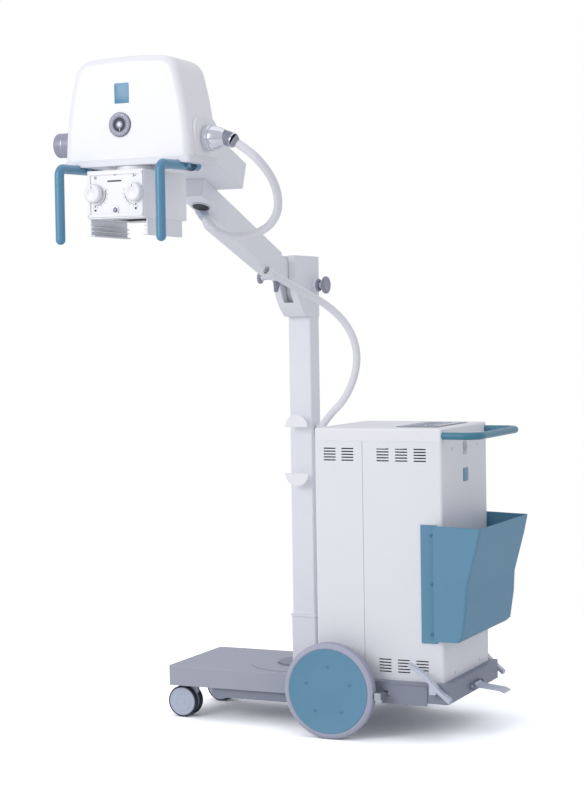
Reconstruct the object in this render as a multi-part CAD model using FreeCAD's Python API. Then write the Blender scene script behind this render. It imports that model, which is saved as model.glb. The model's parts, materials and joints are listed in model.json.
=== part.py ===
import FreeCAD, Part
import os
from math import acos, atan2, cos, degrees, pi, radians, sin, tan

V = FreeCAD.Vector

# Mobile x-ray machine, in millimetres. X points to the rear, where the push handle is,
# Y to the far side and Z up. The origin is on the floor, midway between the two big wheels.

# Fits and gaps
running = 0.06
gap = 0.4
skin = 2.5

# Big wheels and their axle
wheel_radius = 160.0
wheel_width = 42.0
wheel_outer_y = 333.0
tyre_depth = 19.0
hub_radius = 34.0
axle_radius = 12.5
disc_screws = 5
disc_screw_circle = 81.0
screw_radius = 6.0

# Chassis box under the cabinet
chassis_front = -100.0
chassis_rear = 395.0
chassis_half_width = 259.0
chassis_bottom = 128.0
chassis_top = 192.0
chassis_wall = 4.0
chassis_corner = 10.0
axle_block_length = 60.0
axle_block_width = 22.0
side_panel_rear = 323.0
side_panel_bottom = 120.0
side_panel_top = 183.0
side_panel_proud = 3.0

# Front platform, with the tray and the ballast under it
platform_front = -668.0
platform_half_width = 204.5
platform_bottom = 116.0
platform_top = 185.0
platform_wall = 6.0
platform_corner = 16.0
platform_edge = 4.0
socket_wall = 9.0
underpan_front = -505.0
underpan_half_width = 188.0
underpan_depth = 34.0
underpan_corner = 8.0
inlet_x = -150.0
inlet_z = 99.0
inlet_length = 38.0
inlet_height = 20.0
inlet_depth = 28.0
inlet_wall = 3.0
ballast_front = -560.0
ballast_rear = -112.0
ballast_half_width = 190.0
ballast_height = 50.0

# Casters
caster_radius = 55.0
caster_trail = 25.0
caster_axle_x = -627.0
caster_y = 149.0
caster_wheel_width = 22.0
caster_hood_width = 14.0
caster_axle_radius = 5.0
caster_stem_radius = 11.0
caster_stem_depth = 45.0
caster_plate_radius = 26.0

# Cabinet
cabinet_front = -81.0
cabinet_seam = 92.0
cabinet_rear = 371.0
cabinet_half_width = 228.0
cabinet_cover_top = 984.0
cabinet_top = 1026.0
cabinet_corner = 9.0
lid_edge = 6.0
seam_gap = 1.0
vent_width = 43.0
vent_height = 4.0
vent_rows = 5
upper_vents_bottom = 917.0
upper_vents_top = 960.0
lower_vents_bottom = 218.0
lower_vents_top = 262.0
front_cover_vents = (-25.5, 38.5)
rear_cover_vents = (164.5, 230.5, 295.5)
panel_length = 150.0
panel_width = 300.0
panel_thickness = 2.0
panel_setback = 40.0

# Machinery inside the cabinet
tank_length = 200.0
tank_width = 340.0
tank_height = 260.0
tank_x = 235.0
tank_wall = 4.0
tank_lid = 8.0
core_length = 110.0
core_width = 220.0
core_height = 150.0
core_limb = 38.0
capacitor_x = 60.0
capacitor_radius = 31.0
capacitor_height = 140.0
capacitor_pitch = 80.0
capacitor_count = 4
board_x = -30.0
board_thickness = 2.0
board_foot = 20.0
board_height = 420.0
board_width = 340.0

# Push handle and cassette holder
handle_tube_radius = 12.0
handle_z = 1002.0
handle_reach = 492.0
handle_corner = 50.0
holder_overhang = 27.0
holder_top_front = 711.0
holder_top_rear = 705.0
holder_bottom = 332.0
holder_wall = 3.0
holder_fillet = 9.0
holder_rear_x = 511.0
holder_floor_rear = 430.0
holder_back = ((444.0, 345.0), (458.0, 437.0), (462.0, 510.0), (498.0, 644.0))
holder_flange_front = 296.0
holder_flange_rear = 350.0
holder_flange_bottom = 322.0
holder_flange_thickness = 5.0
holder_screw_x = 332.0
holder_screw_heights = (678.0, 517.0, 353.0)
holder_screw_height = 3.0

# Foot controls; each outline is given from its own shaft
pedal_shaft_x = 352.0
pedal_shaft_z = 172.0
pedal_shaft_radius = 8.0
pedal_y = 276.0
pedal_width = 26.0
pedal_bar = 12.0
pedal_top = ((-81.0, 90.0), (-24.0, 55.0), (17.0, 12.0), (60.0, -23.0))
pedal_web = ((-12.0, -8.0), (10.0, -8.0), (14.0, 6.0), (-12.0, 34.0))
crank_length = 26.0
crank_width = 8.0
crank_y = 120.0
shoe_gap = 4.2
shoe_height = 24.0
bar_thickness = 12.0
step_x = 404.0
step_z = 152.0
step_pin_radius = 5.0
step_half_width = 33.0
step_lug_y = 44.0
step_lug_thickness = 6.0
step_top = ((4.0, 4.0), (26.0, -2.0), (90.0, -8.0), (109.0, -16.0))
step_under = ((107.0, -20.0), (88.0, -13.0), (26.0, -7.0), (2.0, -6.0))

# Column
column_axis_x = -240.0
column_x = -215.0
column_depth = 84.0
column_width = 76.0
column_wall = 5.0
column_top = 1400.0
sleeve_wall = 4.0
sleeve_bottom = 193.0
sleeve_top = 355.0
collar_height = 8.0
spindle_radius = 30.0
spindle_depth = 50.0
foot_radius = 84.0
bearing_radius = 74.0
bearing_height = 52.0
cover_radius = 180.0
cover_thickness = 2.0
spring_foot_z = 700.0
spring_foot_height = 12.0
spring_body_top = 1180.0
spring_body_radius = 20.0
spring_rod_radius = 7.0
spring_eye_radius = 11.0
hook_standoff = 39.5
hook_thickness = 5.0
hook_stem_radius = 10.0
hook_stem_inset = 17.0
upper_hook_radius = 42.0
upper_hook_flat = 1019.0
lower_hook_radius = 44.0
lower_hook_flat = 859.0

# Column head, the fork that carries the arm
head_front_y = -160.0
head_rear_y = 40.0
fork_top = 1608.0
fork_curve_foot_y = -66.0
fork_curve_y = -118.0
fork_curve_z = 1443.0
fork_curve_top = 1520.0
slot_width = 36.0
slot_floor = 1448.0
slot_rear_y = -30.0
slot_low = 1408.0
slot_bend_y = -64.0
slot_step_y = -110.0
fork_wall = 6.0
pivot_z = 1508.0
pivot_radius = 10.0
pivot_collar_radius = 20.0
pivot_collar_length = 13.0
knob_radius = 30.0
knob_thickness = 15.0
knob_neck_radius = 13.0
knob_neck_length = 23.0

# Arm, laid out level and pointing to the near side, then tilted about the pivot
arm_rise = 20.0
arm_top = 21.0
arm_bottom = -69.0
arm_start = 253.0
arm_end = 872.0
arm_root_width = 54.0
arm_end_width = 77.0
arm_wall = 4.0
arm_taper_start = 690.0
arm_taper_break = 742.0
arm_taper_rise = 27.0
arm_nose_rise = 5.0
tongue_width = 34.0
tongue_bottom = -43.0
tongue_eye = 33.0
lug_start = 178.0
lug_end = 214.0
lug_bottom = -62.0
lock_along = 196.0
lock_above = -45.0
lock_shaft_radius = 9.0
lock_shaft_length = 46.0
lock_knob_radius = 20.0
lock_knob_thickness = 12.0
buffer_length = 34.0
buffer_ribs = 5
shield_radius = 103.0
shield_thickness = 3.0
shield_start = 20.0
shield_end = 75.0
arm_cap_radius = 29.0
arm_cap_height = 4.0
arm_cap_at = 799.0
buffer_radius = 12.0
end_box_start = 782.0
end_box_half_width = 127.0
end_box_top = 104.0
end_box_wall = 4.0
end_box_plates_end = 952.0
ear_radius = 42.0

# Head: the cover over the tube housing
head_pivot_along = 997.0
head_pivot_above = 62.0
trunnion_radius = 15.0
trunnion_block = 120.0
trunnion_height = 54.0
head_x = -215.0
head_front = -1230.0
head_rear = -1045.0
head_half_width = 207.0
head_middle_half_width = 199.0
head_shoulder_half_width = 170.0
head_crown_half_width = 118.0
head_middle_z = 1965.0
head_shoulder_z = 2105.0
head_edge_z = 2147.0
head_crown_z = 2152.0
head_round_out = 8.0
head_round_up = 6.0
head_fillet = 24.0
head_skin = 3.0
base_plate_corner = 12.0
base_plate_bottom = 1838.0
base_plate_top = 1856.0
beam_port_radius = 40.0
housing_radius = 68.0
housing_length = 330.0
housing_y = -1138.0
housing_z = 1936.0
housing_wall = 4.0
housing_end = 5.0
saddle_wall = 28.0
tube_radius = 34.0
tube_neck_radius = 12.0
tube_neck_length = 55.0
dial_x = -232.0
dial_z = 1955.0
dial_radius = 35.0
dial_rim = 6.0
dial_depth = 6.0
dial_boss_radius = 8.0
end_cap_radius = 36.0
end_cap_fillet = 6.0
end_cap_x = -494.0
end_cap_z = 1915.0
end_cap_y = -1140.0
boss_front = -1200.0
boss_rear = -1060.0
boss_top = 1970.0
boss_fillet = 34.0
boss_x = -5.0
elbow_y = -1130.0
elbow_z = 1911.0
elbow_flange_radius = 38.0
elbow_flange_depth = 17.0
elbow_drum_length = 9.0
elbow_dome_radius = 34.0
elbow_sleeve_inset = 10.0
elbow_sleeve_radius = 21.0
elbow_nut_radius = 18.0

# Positioning handles of the head
grip_radius = 14.0
grip_offset = 164.0
grip_front = -1328.0
grip_front_z = 1829.0
grip_rear = -1103.0
grip_rear_z = 1836.0
grip_bottom = 1625.0
grip_bend = 22.0
clamp_width = 40.0
clamp_length = 22.0
clamp_height = 12.0
clamp_pitch = 60.0
clamp_inset = 30.0
clamp_count = 2

# Collimator
collimator_half_width = 94.0
collimator_front = -1295.0
collimator_rear = -1036.0
collimator_bottom = 1683.0
collimator_top = 1820.0
collimator_wall = 3.0
collimator_corner = 6.0
collimator_neck_radius = 60.0
port_half_width = 60.0
panel_lip = 3.0
panel_frame = 9.0
panel_inset = 4.0
knob_offset = 66.0
knob_z = 1755.0
dial_knob_radius = 27.0
dial_knob_depth = 20.0
dial_shaft_radius = 4.0
button_z = 1706.0
button_radius = 6.0
button_reach = 6.0
rail_bottom = 1634.0
rail_front = -1278.0
rail_rear = -1070.0
rail_thickness = 4.0
rail_lip = 14.0
blade_thickness = 4.0
blade_length = 52.0
blade_opening = 30.0
blade_half_width = 77.0
ledge_reach = 73.0
ledge_width = 12.0
ledge_thickness = 4.0
blade_lift = 17.0

# Hoses
hose_radius = 12.5
gland_radius = 17.0
upper_hose_points = (
    (93, -1130, 1893), (129, -1118, 1867), (153, -1088, 1832), (162, -1043, 1794),
    (153, -987, 1752), (125, -928, 1706), (70, -868, 1669), (-7, -812, 1648),
    (-86, -767, 1646), (-146, -745, 1653), (-191, -735, 1677), (-218, -732, 1709),
)
lower_hose_points = (
    (-172, -340, 1541), (-146, -282, 1512), (-120, -226, 1486), (-79, -161, 1451),
    (-45, -127, 1417), (-13, -104, 1375), (11, -91, 1324), (20, -84, 1268),
    (12, -79, 1210), (-11, -73, 1155), (-46, -65, 1104), (-99, -47, 1062),
    (-150, -12, 1015),
)

nodes = {}


def box(x0, x1, y0, y1, z0, z1):
    return Part.makeBox(x1 - x0, y1 - y0, z1 - z0, V(x0, y0, z0))


def rod(start, end, radius):
    """A round bar between two points."""
    a = V(*start)
    axis = V(*end) - a
    return Part.makeCylinder(radius, axis.Length, a, axis)


def ring(start, end, outer, inner):
    """A round sleeve between two points."""
    return rod(start, end, outer).cut(rod(start, end, inner))


def outline_face(points):
    """A flat face with straight sides through the points."""
    corners = [V(*p) for p in points]
    return Part.Face(Part.makePolygon(corners + [corners[0]]))


def plate_xz(points, y0, y1):
    """Outline in X and Z, as thick as y0 to y1."""
    return outline_face([(x, y0, z) for x, z in points]).extrude(V(0, y1 - y0, 0))


def plate_yz(points, x0, x1):
    """Outline in Y and Z, as thick as x0 to x1."""
    return outline_face([(x0, y, z) for y, z in points]).extrude(V(x1 - x0, 0, 0))


def plate_xy(points, z0, z1):
    """Outline in X and Y, as thick as z0 to z1."""
    return outline_face([(x, y, z0) for x, y in points]).extrude(V(0, 0, z1 - z0))


def fuse(shapes):
    """One solid out of touching shapes."""
    whole = shapes[0].multiFuse(shapes[1:]) if len(shapes) > 1 else shapes[0]
    return whole.removeSplitter()


def group(shapes):
    """Separate solids that share one node."""
    return Part.makeCompound(shapes)


def direction_of(edge):
    """Unit direction of a straight edge, or None for a curved one."""
    if not isinstance(edge.Curve, (Part.Line, Part.LineSegment)):
        return None
    step = edge.valueAt(edge.LastParameter) - edge.valueAt(edge.FirstParameter)
    return step.normalize()


def upright_edges(shape):
    """The straight vertical edges of a shape."""
    found = []
    for edge in shape.Edges:
        run = direction_of(edge)
        if run is not None and abs(run.z) > 0.99:
            found.append(edge)
    return found


def rounded_uprights(shape, radius, low_x=None, high_x=None):
    """Round the vertical edges, all of them or those below low_x or above high_x."""
    chosen = []
    for edge in upright_edges(shape):
        x = edge.CenterOfMass.x
        if (low_x is None or x < low_x) and (high_x is None or x > high_x):
            chosen.append(edge)
    return shape.makeFillet(radius, chosen)


def offsets_from(x, z, pairs):
    """Points given as pairs of offsets from a place in X and Z."""
    return [(x + dx, z + dz) for dx, dz in pairs]


def edges_at_height(shape, z):
    """Edges that lie in one horizontal plane."""
    found = []
    for edge in shape.Edges:
        low = edge.BoundBox.ZMin
        high = edge.BoundBox.ZMax
        if abs(low - z) < 0.01 and abs(high - z) < 0.01:
            found.append(edge)
    return found


def bent_tube(points, radius, bend):
    """A round bar along straight runs joined by tangent arcs.

    bend(before, after, turn) gives each arc's radius.
    """
    corners = [V(*p) for p in points]
    edges = []
    bends = []
    here = corners[0]
    for i in range(1, len(corners) - 1):
        before = corners[i] - corners[i - 1]
        after = corners[i + 1] - corners[i]
        turn = before.getAngle(after)
        bend_radius = bend(before.Length, after.Length, turn)
        bends.append(bend_radius)
        cut_back = bend_radius * tan(turn / 2)
        unit_in = V(before).normalize()
        unit_out = V(after).normalize()
        start = corners[i] - unit_in * cut_back
        end = corners[i] + unit_out * cut_back
        inward = (unit_out - unit_in).normalize()
        middle = corners[i] + inward * (bend_radius / cos(turn / 2) - bend_radius)
        edges.append(Part.LineSegment(here, start).toShape())
        edges.append(Part.Arc(start, middle, end).toShape())
        here = end
    edges.append(Part.LineSegment(here, corners[-1]).toShape())
    path = Part.Wire(edges)
    circle = Part.Wire(Part.makeCircle(radius, corners[0], corners[1] - corners[0]))
    bar = path.makePipeShell([circle], True, False)
    return bar, path.Length, bends


def widest_bend(before, after, turn):
    """The largest arc that two runs allow."""
    return 0.45 * min(before, after) / tan(turn / 2)


def arm_place(shape):
    """Tilt a part of the level arm about the pivot and set it in place."""
    placed = shape.copy()
    placed.rotate(V(0, 0, 0), V(1, 0, 0), -arm_rise)
    placed.translate(V(0, 0, pivot_z))
    return placed


def arm_point(x, along, above):
    """A point given along and above the level arm, in its tilted place."""
    rise = radians(arm_rise)
    y = -along * cos(rise) + above * sin(rise)
    z = pivot_z + along * sin(rise) + above * cos(rise)
    return (x, y, z)


# Chassis, platform and wheels


def make_chassis():
    """Sheet box under the cabinet, open below, with the axle blocks inside its walls."""
    shell = box(chassis_front, chassis_rear, -chassis_half_width, chassis_half_width,
                chassis_bottom, chassis_top)
    shell = rounded_uprights(shell, chassis_corner)
    inside = box(chassis_front + chassis_wall, chassis_rear - chassis_wall,
                 -chassis_half_width + chassis_wall, chassis_half_width - chassis_wall,
                 chassis_bottom - 1, chassis_top - chassis_wall)
    shell = shell.cut(rounded_uprights(inside, chassis_corner - chassis_wall))
    parts = [shell]
    half_lug = step_lug_thickness / 2
    lug_reach = 2 * step_pin_radius
    for side in (-1, 1):
        y_wall = side * (chassis_half_width - chassis_wall)
        y_in = side * (chassis_half_width - chassis_wall - axle_block_width)
        parts.append(box(-axle_block_length / 2, axle_block_length / 2, min(y_wall, y_in),
                         max(y_wall, y_in), chassis_bottom + 5, chassis_top - chassis_wall))
        # Side panel that stands a little proud of the wall, behind the wheel
        face = side * chassis_half_width
        proud = side * (chassis_half_width + side_panel_proud)
        parts.append(box(wheel_radius + 4, side_panel_rear, min(face, proud), max(face, proud),
                         side_panel_bottom, side_panel_top))
        # Lug of the rear step pedal
        y_lug = side * step_lug_y
        parts.append(box(chassis_rear, step_x + lug_reach, y_lug - half_lug, y_lug + half_lug,
                         step_z - lug_reach, step_z + lug_reach))
    frame = fuse(parts)
    frame = frame.cut(rod((0, -chassis_half_width - 1, wheel_radius),
                          (0, chassis_half_width + 1, wheel_radius), axle_radius))
    frame = frame.cut(rod((pedal_shaft_x, -chassis_half_width - 5, pedal_shaft_z),
                          (pedal_shaft_x, chassis_half_width + 5, pedal_shaft_z),
                          pedal_shaft_radius + running))
    for side in (-1, 1):
        y_lug = side * step_lug_y
        frame = frame.cut(rod((step_x, y_lug - step_lug_thickness, step_z),
                              (step_x, y_lug + step_lug_thickness, step_z),
                              step_pin_radius + running))
        # Slot that lets the brake bar out to the tyre
        y_slot = side * chassis_half_width
        frame = frame.cut(box(brake_bar_front - 7, brake_bar_rear + 3, y_slot - 8, y_slot + 8,
                              brake_bar_bottom - 3, brake_bar_top + 3))
    return frame


def make_platform():
    """Cast platform in front, hollow below."""
    body = box(platform_front, chassis_front, -platform_half_width, platform_half_width,
               platform_bottom, platform_top)
    body = rounded_uprights(body, platform_corner, low_x=platform_front + 1)
    body = body.makeFillet(platform_edge, [e for e in edges_at_height(body, platform_top)
                                           if e.CenterOfMass.x < chassis_front - 1])
    inside = box(platform_front + platform_wall, chassis_front - platform_wall,
                 -platform_half_width + platform_wall, platform_half_width - platform_wall,
                 platform_bottom - 1, platform_top - platform_wall)
    inside = rounded_uprights(inside, platform_corner - platform_wall,
                              low_x=platform_front + platform_wall + 1)
    body = body.cut(inside)
    parts = [body]
    for side in (-1, 1):
        socket = rod((caster_stem_x, side * caster_y, platform_bottom),
                     (caster_stem_x, side * caster_y, platform_top - platform_wall),
                     caster_stem_radius + socket_wall)
        parts.append(socket)
    body = fuse(parts)
    for side in (-1, 1):
        body = body.cut(rod((caster_stem_x, side * caster_y, platform_bottom - 1),
                            (caster_stem_x, side * caster_y,
                             platform_bottom + caster_stem_depth + 1),
                            caster_stem_radius + running))
    body = body.cut(rod((column_axis_x, 0, platform_bottom), (column_axis_x, 0, platform_top + 1),
                        spindle_radius + 3))
    return body


def make_underpan():
    """Thin tray that closes the platform from below."""
    bottom = platform_bottom - underpan_depth
    pan = box(underpan_front, chassis_front, -underpan_half_width, underpan_half_width,
              bottom, platform_bottom)
    pan = rounded_uprights(pan, underpan_corner)
    inside = box(underpan_front + skin, chassis_front - skin, -underpan_half_width + skin,
                 underpan_half_width - skin, bottom + skin, platform_bottom + 1)
    pan = pan.cut(rounded_uprights(inside, underpan_corner - skin))
    window = box(inlet_x - inlet_length / 2, inlet_x + inlet_length / 2,
                 -underpan_half_width - 1, -underpan_half_width + skin + 1,
                 inlet_z - inlet_height / 2, inlet_z + inlet_height / 2)
    return pan.cut(window)


def make_inlet():
    """Three-pin mains inlet in the side of the tray."""
    y_face = -underpan_half_width
    half = inlet_length / 2
    high = inlet_height / 2
    body = box(inlet_x - half, inlet_x + half, y_face, y_face + inlet_depth,
               inlet_z - high, inlet_z + high)
    cavity = box(inlet_x - half + inlet_wall, inlet_x + half - inlet_wall, y_face - 1,
                 y_face + inlet_depth - 10, inlet_z - high + inlet_wall, inlet_z + high - inlet_wall)
    body = body.cut(cavity)
    pins = [body]
    pitch = (half - inlet_wall) / 2
    for place in (-pitch, 0, pitch):
        pins.append(box(inlet_x + place - inlet_wall / 2, inlet_x + place + inlet_wall / 2,
                        y_face + 4, y_face + inlet_depth - 9,
                        inlet_z - inlet_wall, inlet_z + inlet_wall))
    return fuse(pins)


def make_ballast():
    """Iron slab that keeps the machine steady under the arm."""
    top = platform_top - platform_wall
    slab = box(ballast_front, ballast_rear, -ballast_half_width, ballast_half_width,
               top - ballast_height, top)
    slab = slab.cut(rod((column_axis_x, 0, top - ballast_height - 1), (column_axis_x, 0, top + 1),
                        bearing_radius + 1))
    return slab


def make_column_bearing():
    """Bearing housing under the platform top, and the round cover on it."""
    under = platform_top - platform_wall
    top = platform_top + cover_thickness
    housing = ring((column_axis_x, 0, under - bearing_height), (column_axis_x, 0, under),
                   bearing_radius, spindle_radius + running)
    cover = ring((column_axis_x, 0, platform_top), (column_axis_x, 0, top),
                 cover_radius, foot_radius + 2)
    beyond = box(chassis_front - gap, chassis_front + cover_radius, -cover_radius - 1,
                 cover_radius + 1, platform_top - 1, top + 1)
    return group([housing, cover.cut(beyond)])


def make_rear_axle():
    half = wheel_outer_y - 6
    return rod((0, -half, wheel_radius), (0, half, wheel_radius), axle_radius)


def make_wheel(side, name):
    """One big wheel: tyre, and a hub with its cover disc and screws."""
    y_out = side * wheel_outer_y
    y_in = side * (wheel_outer_y - wheel_width)
    rim = wheel_radius - tyre_depth
    tyre = ring((0, y_in, wheel_radius), (0, y_out, wheel_radius), wheel_radius, rim)
    tyre = tyre.makeFillet(5.0, [e for e in tyre.Edges if e.Length > 2 * pi * wheel_radius - 1])
    web_in = side * (wheel_outer_y - wheel_width + 8)
    web_out = side * (wheel_outer_y - 4)
    web = rod((0, web_in, wheel_radius), (0, web_out, wheel_radius), rim)
    hollow = ring((0, web_in, wheel_radius), (0, side * (wheel_outer_y - 10), wheel_radius),
                  rim - 8, hub_radius)
    web = web.cut(hollow)
    collar = rod((0, side * (chassis_half_width + gap), wheel_radius),
                 (0, web_in, wheel_radius), 22)
    hub = fuse([web, collar])
    bore = rod((0, side * (chassis_half_width - 1), wheel_radius),
               (0, side * (wheel_outer_y - 6 + gap), wheel_radius), axle_radius + running)
    hub = hub.cut(bore)
    disc = rod((0, web_out, wheel_radius), (0, y_out, wheel_radius), rim)
    disc = disc.makeChamfer(2.0, [e for e in disc.Edges if abs(e.CenterOfMass.y - y_out) < 0.01])
    screws = []
    for k in range(disc_screws):
        turn = pi / 2 + 2 * pi * k / disc_screws
        x = disc_screw_circle * cos(turn)
        z = wheel_radius + disc_screw_circle * sin(turn)
        disc = disc.cut(rod((x, web_out - side, z), (x, y_out + side, z), screw_radius))
        screws.append(rod((x, web_out, z), (x, y_out + side * 1.0, z), screw_radius))
    nodes[name + "_tyre"] = tyre
    nodes[name + "_disc"] = group([disc] + screws)
    nodes[name + "_hub"] = hub


def make_caster(side, name):
    """Twin wheels on both sides of a swivelling hood."""
    y = side * caster_y
    half_hood = caster_hood_width / 2
    plate_top = platform_bottom - gap
    hood_top = plate_top - 3
    stem = rod((caster_stem_x, y, hood_top - 2),
               (caster_stem_x, y, platform_bottom + caster_stem_depth), caster_stem_radius)
    plate = rod((caster_stem_x, y, hood_top - 2), (caster_stem_x, y, plate_top),
                caster_plate_radius)
    outline = [(caster_axle_x - 16, caster_radius - 10), (caster_axle_x + 14, caster_radius - 16),
               (caster_stem_x + caster_plate_radius, hood_top - 24),
               (caster_stem_x + caster_plate_radius, hood_top),
               (caster_axle_x - 16, hood_top), (caster_axle_x - 30, hood_top - 16)]
    hood = plate_xz(outline, y - half_hood, y + half_hood)
    axle = rod((caster_axle_x, y - half_hood - caster_wheel_width, caster_radius),
               (caster_axle_x, y + half_hood + caster_wheel_width, caster_radius),
               caster_axle_radius)
    nodes[name + "_hood"] = fuse([stem, plate, hood, axle])
    wheels = []
    for inner in (-1, 1):
        y_in = y + inner * (half_hood + 1)
        y_out = y + inner * (half_hood + 1 + caster_wheel_width)
        wheel = ring((caster_axle_x, y_in, caster_radius), (caster_axle_x, y_out, caster_radius),
                     caster_radius, caster_axle_radius + running)
        rims = [e for e in wheel.Edges if e.Length > 2 * pi * caster_radius - 1]
        wheels.append(wheel.makeFillet(4.0, rims))
    nodes[name + "_wheels"] = group(wheels)


# Foot controls


def make_brake_pedals():
    """Two side pedals on one cross shaft, with cranks that push the brake bar."""
    parts = [rod((pedal_shaft_x, -pedal_y - pedal_width / 2, pedal_shaft_z),
                 (pedal_shaft_x, pedal_y + pedal_width / 2, pedal_shaft_z), pedal_shaft_radius)]
    top = offsets_from(pedal_shaft_x, pedal_shaft_z, pedal_top)
    outline = top + [(x - 5, z - pedal_bar) for x, z in reversed(top)]
    web = offsets_from(pedal_shaft_x, pedal_shaft_z, pedal_web)
    half_crank = crank_width / 2
    for side in (-1, 1):
        y0 = side * pedal_y - pedal_width / 2
        y1 = side * pedal_y + pedal_width / 2
        parts.append(plate_xz(outline, y0, y1))
        parts.append(plate_xz(web, y0, y1))
        y_crank = side * crank_y
        parts.append(box(pedal_shaft_x - 6, pedal_shaft_x + 6, y_crank - half_crank,
                         y_crank + half_crank, pedal_shaft_z - crank_length, pedal_shaft_z))
    return fuse(parts)


def make_brake_bar():
    """Cross bar that carries a shoe to each tyre, and the push rods from the cranks."""
    shoe_front = wheel_radius + shoe_gap
    half = wheel_outer_y - 4
    bar = box(brake_bar_front, brake_bar_rear, -half, half, brake_bar_bottom, brake_bar_top)
    parts = [bar]
    middle = (brake_bar_bottom + brake_bar_top) / 2
    for side in (-1, 1):
        y_in = side * (wheel_outer_y - wheel_width + 2)
        y_out = side * half
        parts.append(box(shoe_front, brake_bar_rear, min(y_in, y_out), max(y_in, y_out),
                         middle - shoe_height / 2, middle + shoe_height / 2))
        y_crank = side * crank_y
        parts.append(box(brake_bar_rear, pedal_shaft_x - 6 - gap, y_crank - crank_width / 2,
                         y_crank + crank_width / 2, middle - 5, middle + 5))
    return fuse(parts)


def make_step_pedal():
    """Bent plate pedal at the rear, on its hinge pin."""
    outline = offsets_from(step_x, step_z, step_top + step_under)
    plate = plate_xz(outline, -step_half_width, step_half_width)
    eye = rod((step_x, -step_half_width, step_z), (step_x, step_half_width, step_z),
              step_pin_radius + 3)
    pin_end = step_lug_y + step_lug_thickness / 2 + 1
    pin = rod((step_x, -pin_end, step_z), (step_x, pin_end, step_z), step_pin_radius)
    return fuse([plate, eye, pin])


# Cabinet


def cut_vents(shell, centres, bottom, top):
    """Rows of slots through both side walls."""
    pitch = (top - bottom - vent_height) / (vent_rows - 1)
    slots = []
    for x in centres:
        for row in range(vent_rows):
            z = bottom + row * pitch
            for side in (-1, 1):
                y = side * cabinet_half_width
                slots.append(box(x - vent_width / 2, x + vent_width / 2, y - skin - 1,
                                 y + skin + 1, z, z + vent_height))
    return shell.cut(slots)


def make_front_cover():
    """Sheet cover over the front of the cabinet, open to the rear one."""
    end = cabinet_seam - seam_gap / 2
    body = box(cabinet_front, end, -cabinet_half_width, cabinet_half_width,
               chassis_top, cabinet_cover_top)
    body = rounded_uprights(body, cabinet_corner, low_x=cabinet_front + 1)
    inside = box(cabinet_front + skin, end + 1, -cabinet_half_width + skin,
                 cabinet_half_width - skin, chassis_top - 1, cabinet_cover_top + 1)
    inside = rounded_uprights(inside, cabinet_corner - skin, low_x=cabinet_front + skin + 1)
    return cut_vents(body.cut(inside), front_cover_vents, upper_vents_bottom, upper_vents_top)


def make_rear_cover():
    """Sheet cover over the rear of the cabinet."""
    start = cabinet_seam + seam_gap / 2
    body = box(start, cabinet_rear, -cabinet_half_width, cabinet_half_width,
               chassis_top, cabinet_cover_top)
    body = rounded_uprights(body, cabinet_corner, high_x=cabinet_rear - 1)
    inside = box(start - 1, cabinet_rear - skin, -cabinet_half_width + skin,
                 cabinet_half_width - skin, chassis_top - 1, cabinet_cover_top + 1)
    inside = rounded_uprights(inside, cabinet_corner - skin, high_x=cabinet_rear - skin - 1)
    body = cut_vents(body.cut(inside), rear_cover_vents, upper_vents_bottom, upper_vents_top)
    return cut_vents(body, rear_cover_vents, lower_vents_bottom, lower_vents_top)


def make_top_cover():
    """Shallow lid over both covers."""
    body = box(cabinet_front, cabinet_rear, -cabinet_half_width, cabinet_half_width,
               cabinet_cover_top, cabinet_top)
    body = rounded_uprights(body, cabinet_corner)
    body = body.makeFillet(lid_edge, edges_at_height(body, cabinet_top))
    inside = box(cabinet_front + skin, cabinet_rear - skin, -cabinet_half_width + skin,
                 cabinet_half_width - skin, cabinet_cover_top - 1, cabinet_top - skin)
    return body.cut(rounded_uprights(inside, cabinet_corner - skin))


def make_control_panel():
    """Sealed key panel on the lid, next to the push handle."""
    rear = cabinet_rear - panel_setback
    plate = box(rear - panel_length, rear, -panel_width / 2, panel_width / 2,
                cabinet_top, cabinet_top + panel_thickness)
    return rounded_uprights(plate, 8.0)


def make_generator():
    """High-voltage tank with its lid, and the iron core that stands in it."""
    x0 = tank_x - tank_length / 2
    x1 = tank_x + tank_length / 2
    top = chassis_top + tank_height
    tank = box(x0, x1, -tank_width / 2, tank_width / 2, chassis_top, top)
    floor = chassis_top + tank_wall
    tank = tank.cut(box(x0 + tank_wall, x1 - tank_wall, -tank_width / 2 + tank_wall,
                        tank_width / 2 - tank_wall, floor, top + 1))
    lid = box(x0 - tank_lid, x1 + tank_lid, -tank_width / 2 - tank_lid, tank_width / 2 + tank_lid,
              top, top + tank_lid)
    core = box(tank_x - core_length / 2, tank_x + core_length / 2, -core_width / 2, core_width / 2,
               floor, floor + core_height)
    window = box(tank_x - core_length, tank_x + core_length, -core_limb, core_limb,
                 floor + core_limb, floor + core_height - core_limb)
    return group([tank, lid, core.cut(window)])


def make_electronics():
    """Capacitors and the board that stands behind them."""
    parts = []
    first = -capacitor_pitch * (capacitor_count - 1) / 2
    for k in range(capacitor_count):
        y = first + k * capacitor_pitch
        parts.append(rod((capacitor_x, y, chassis_top),
                         (capacitor_x, y, chassis_top + capacitor_height), capacitor_radius))
    face = board_x + board_thickness
    board = box(board_x, face, -board_width / 2, board_width / 2,
                chassis_top, chassis_top + board_height)
    foot = box(face, face + board_foot, -board_width / 2, board_width / 2,
               chassis_top, chassis_top + board_thickness)
    parts.append(fuse([board, foot]))
    return group(parts)


def make_push_handle():
    """Bent tube across the rear of the lid."""
    y = cabinet_half_width - handle_tube_radius
    points = [(cabinet_rear, -y, handle_z), (handle_reach, -y, handle_z),
              (handle_reach, y, handle_z), (cabinet_rear, y, handle_z)]
    tube, _, _ = bent_tube(points, handle_tube_radius, lambda a, b, turn: handle_corner)
    return tube


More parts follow.
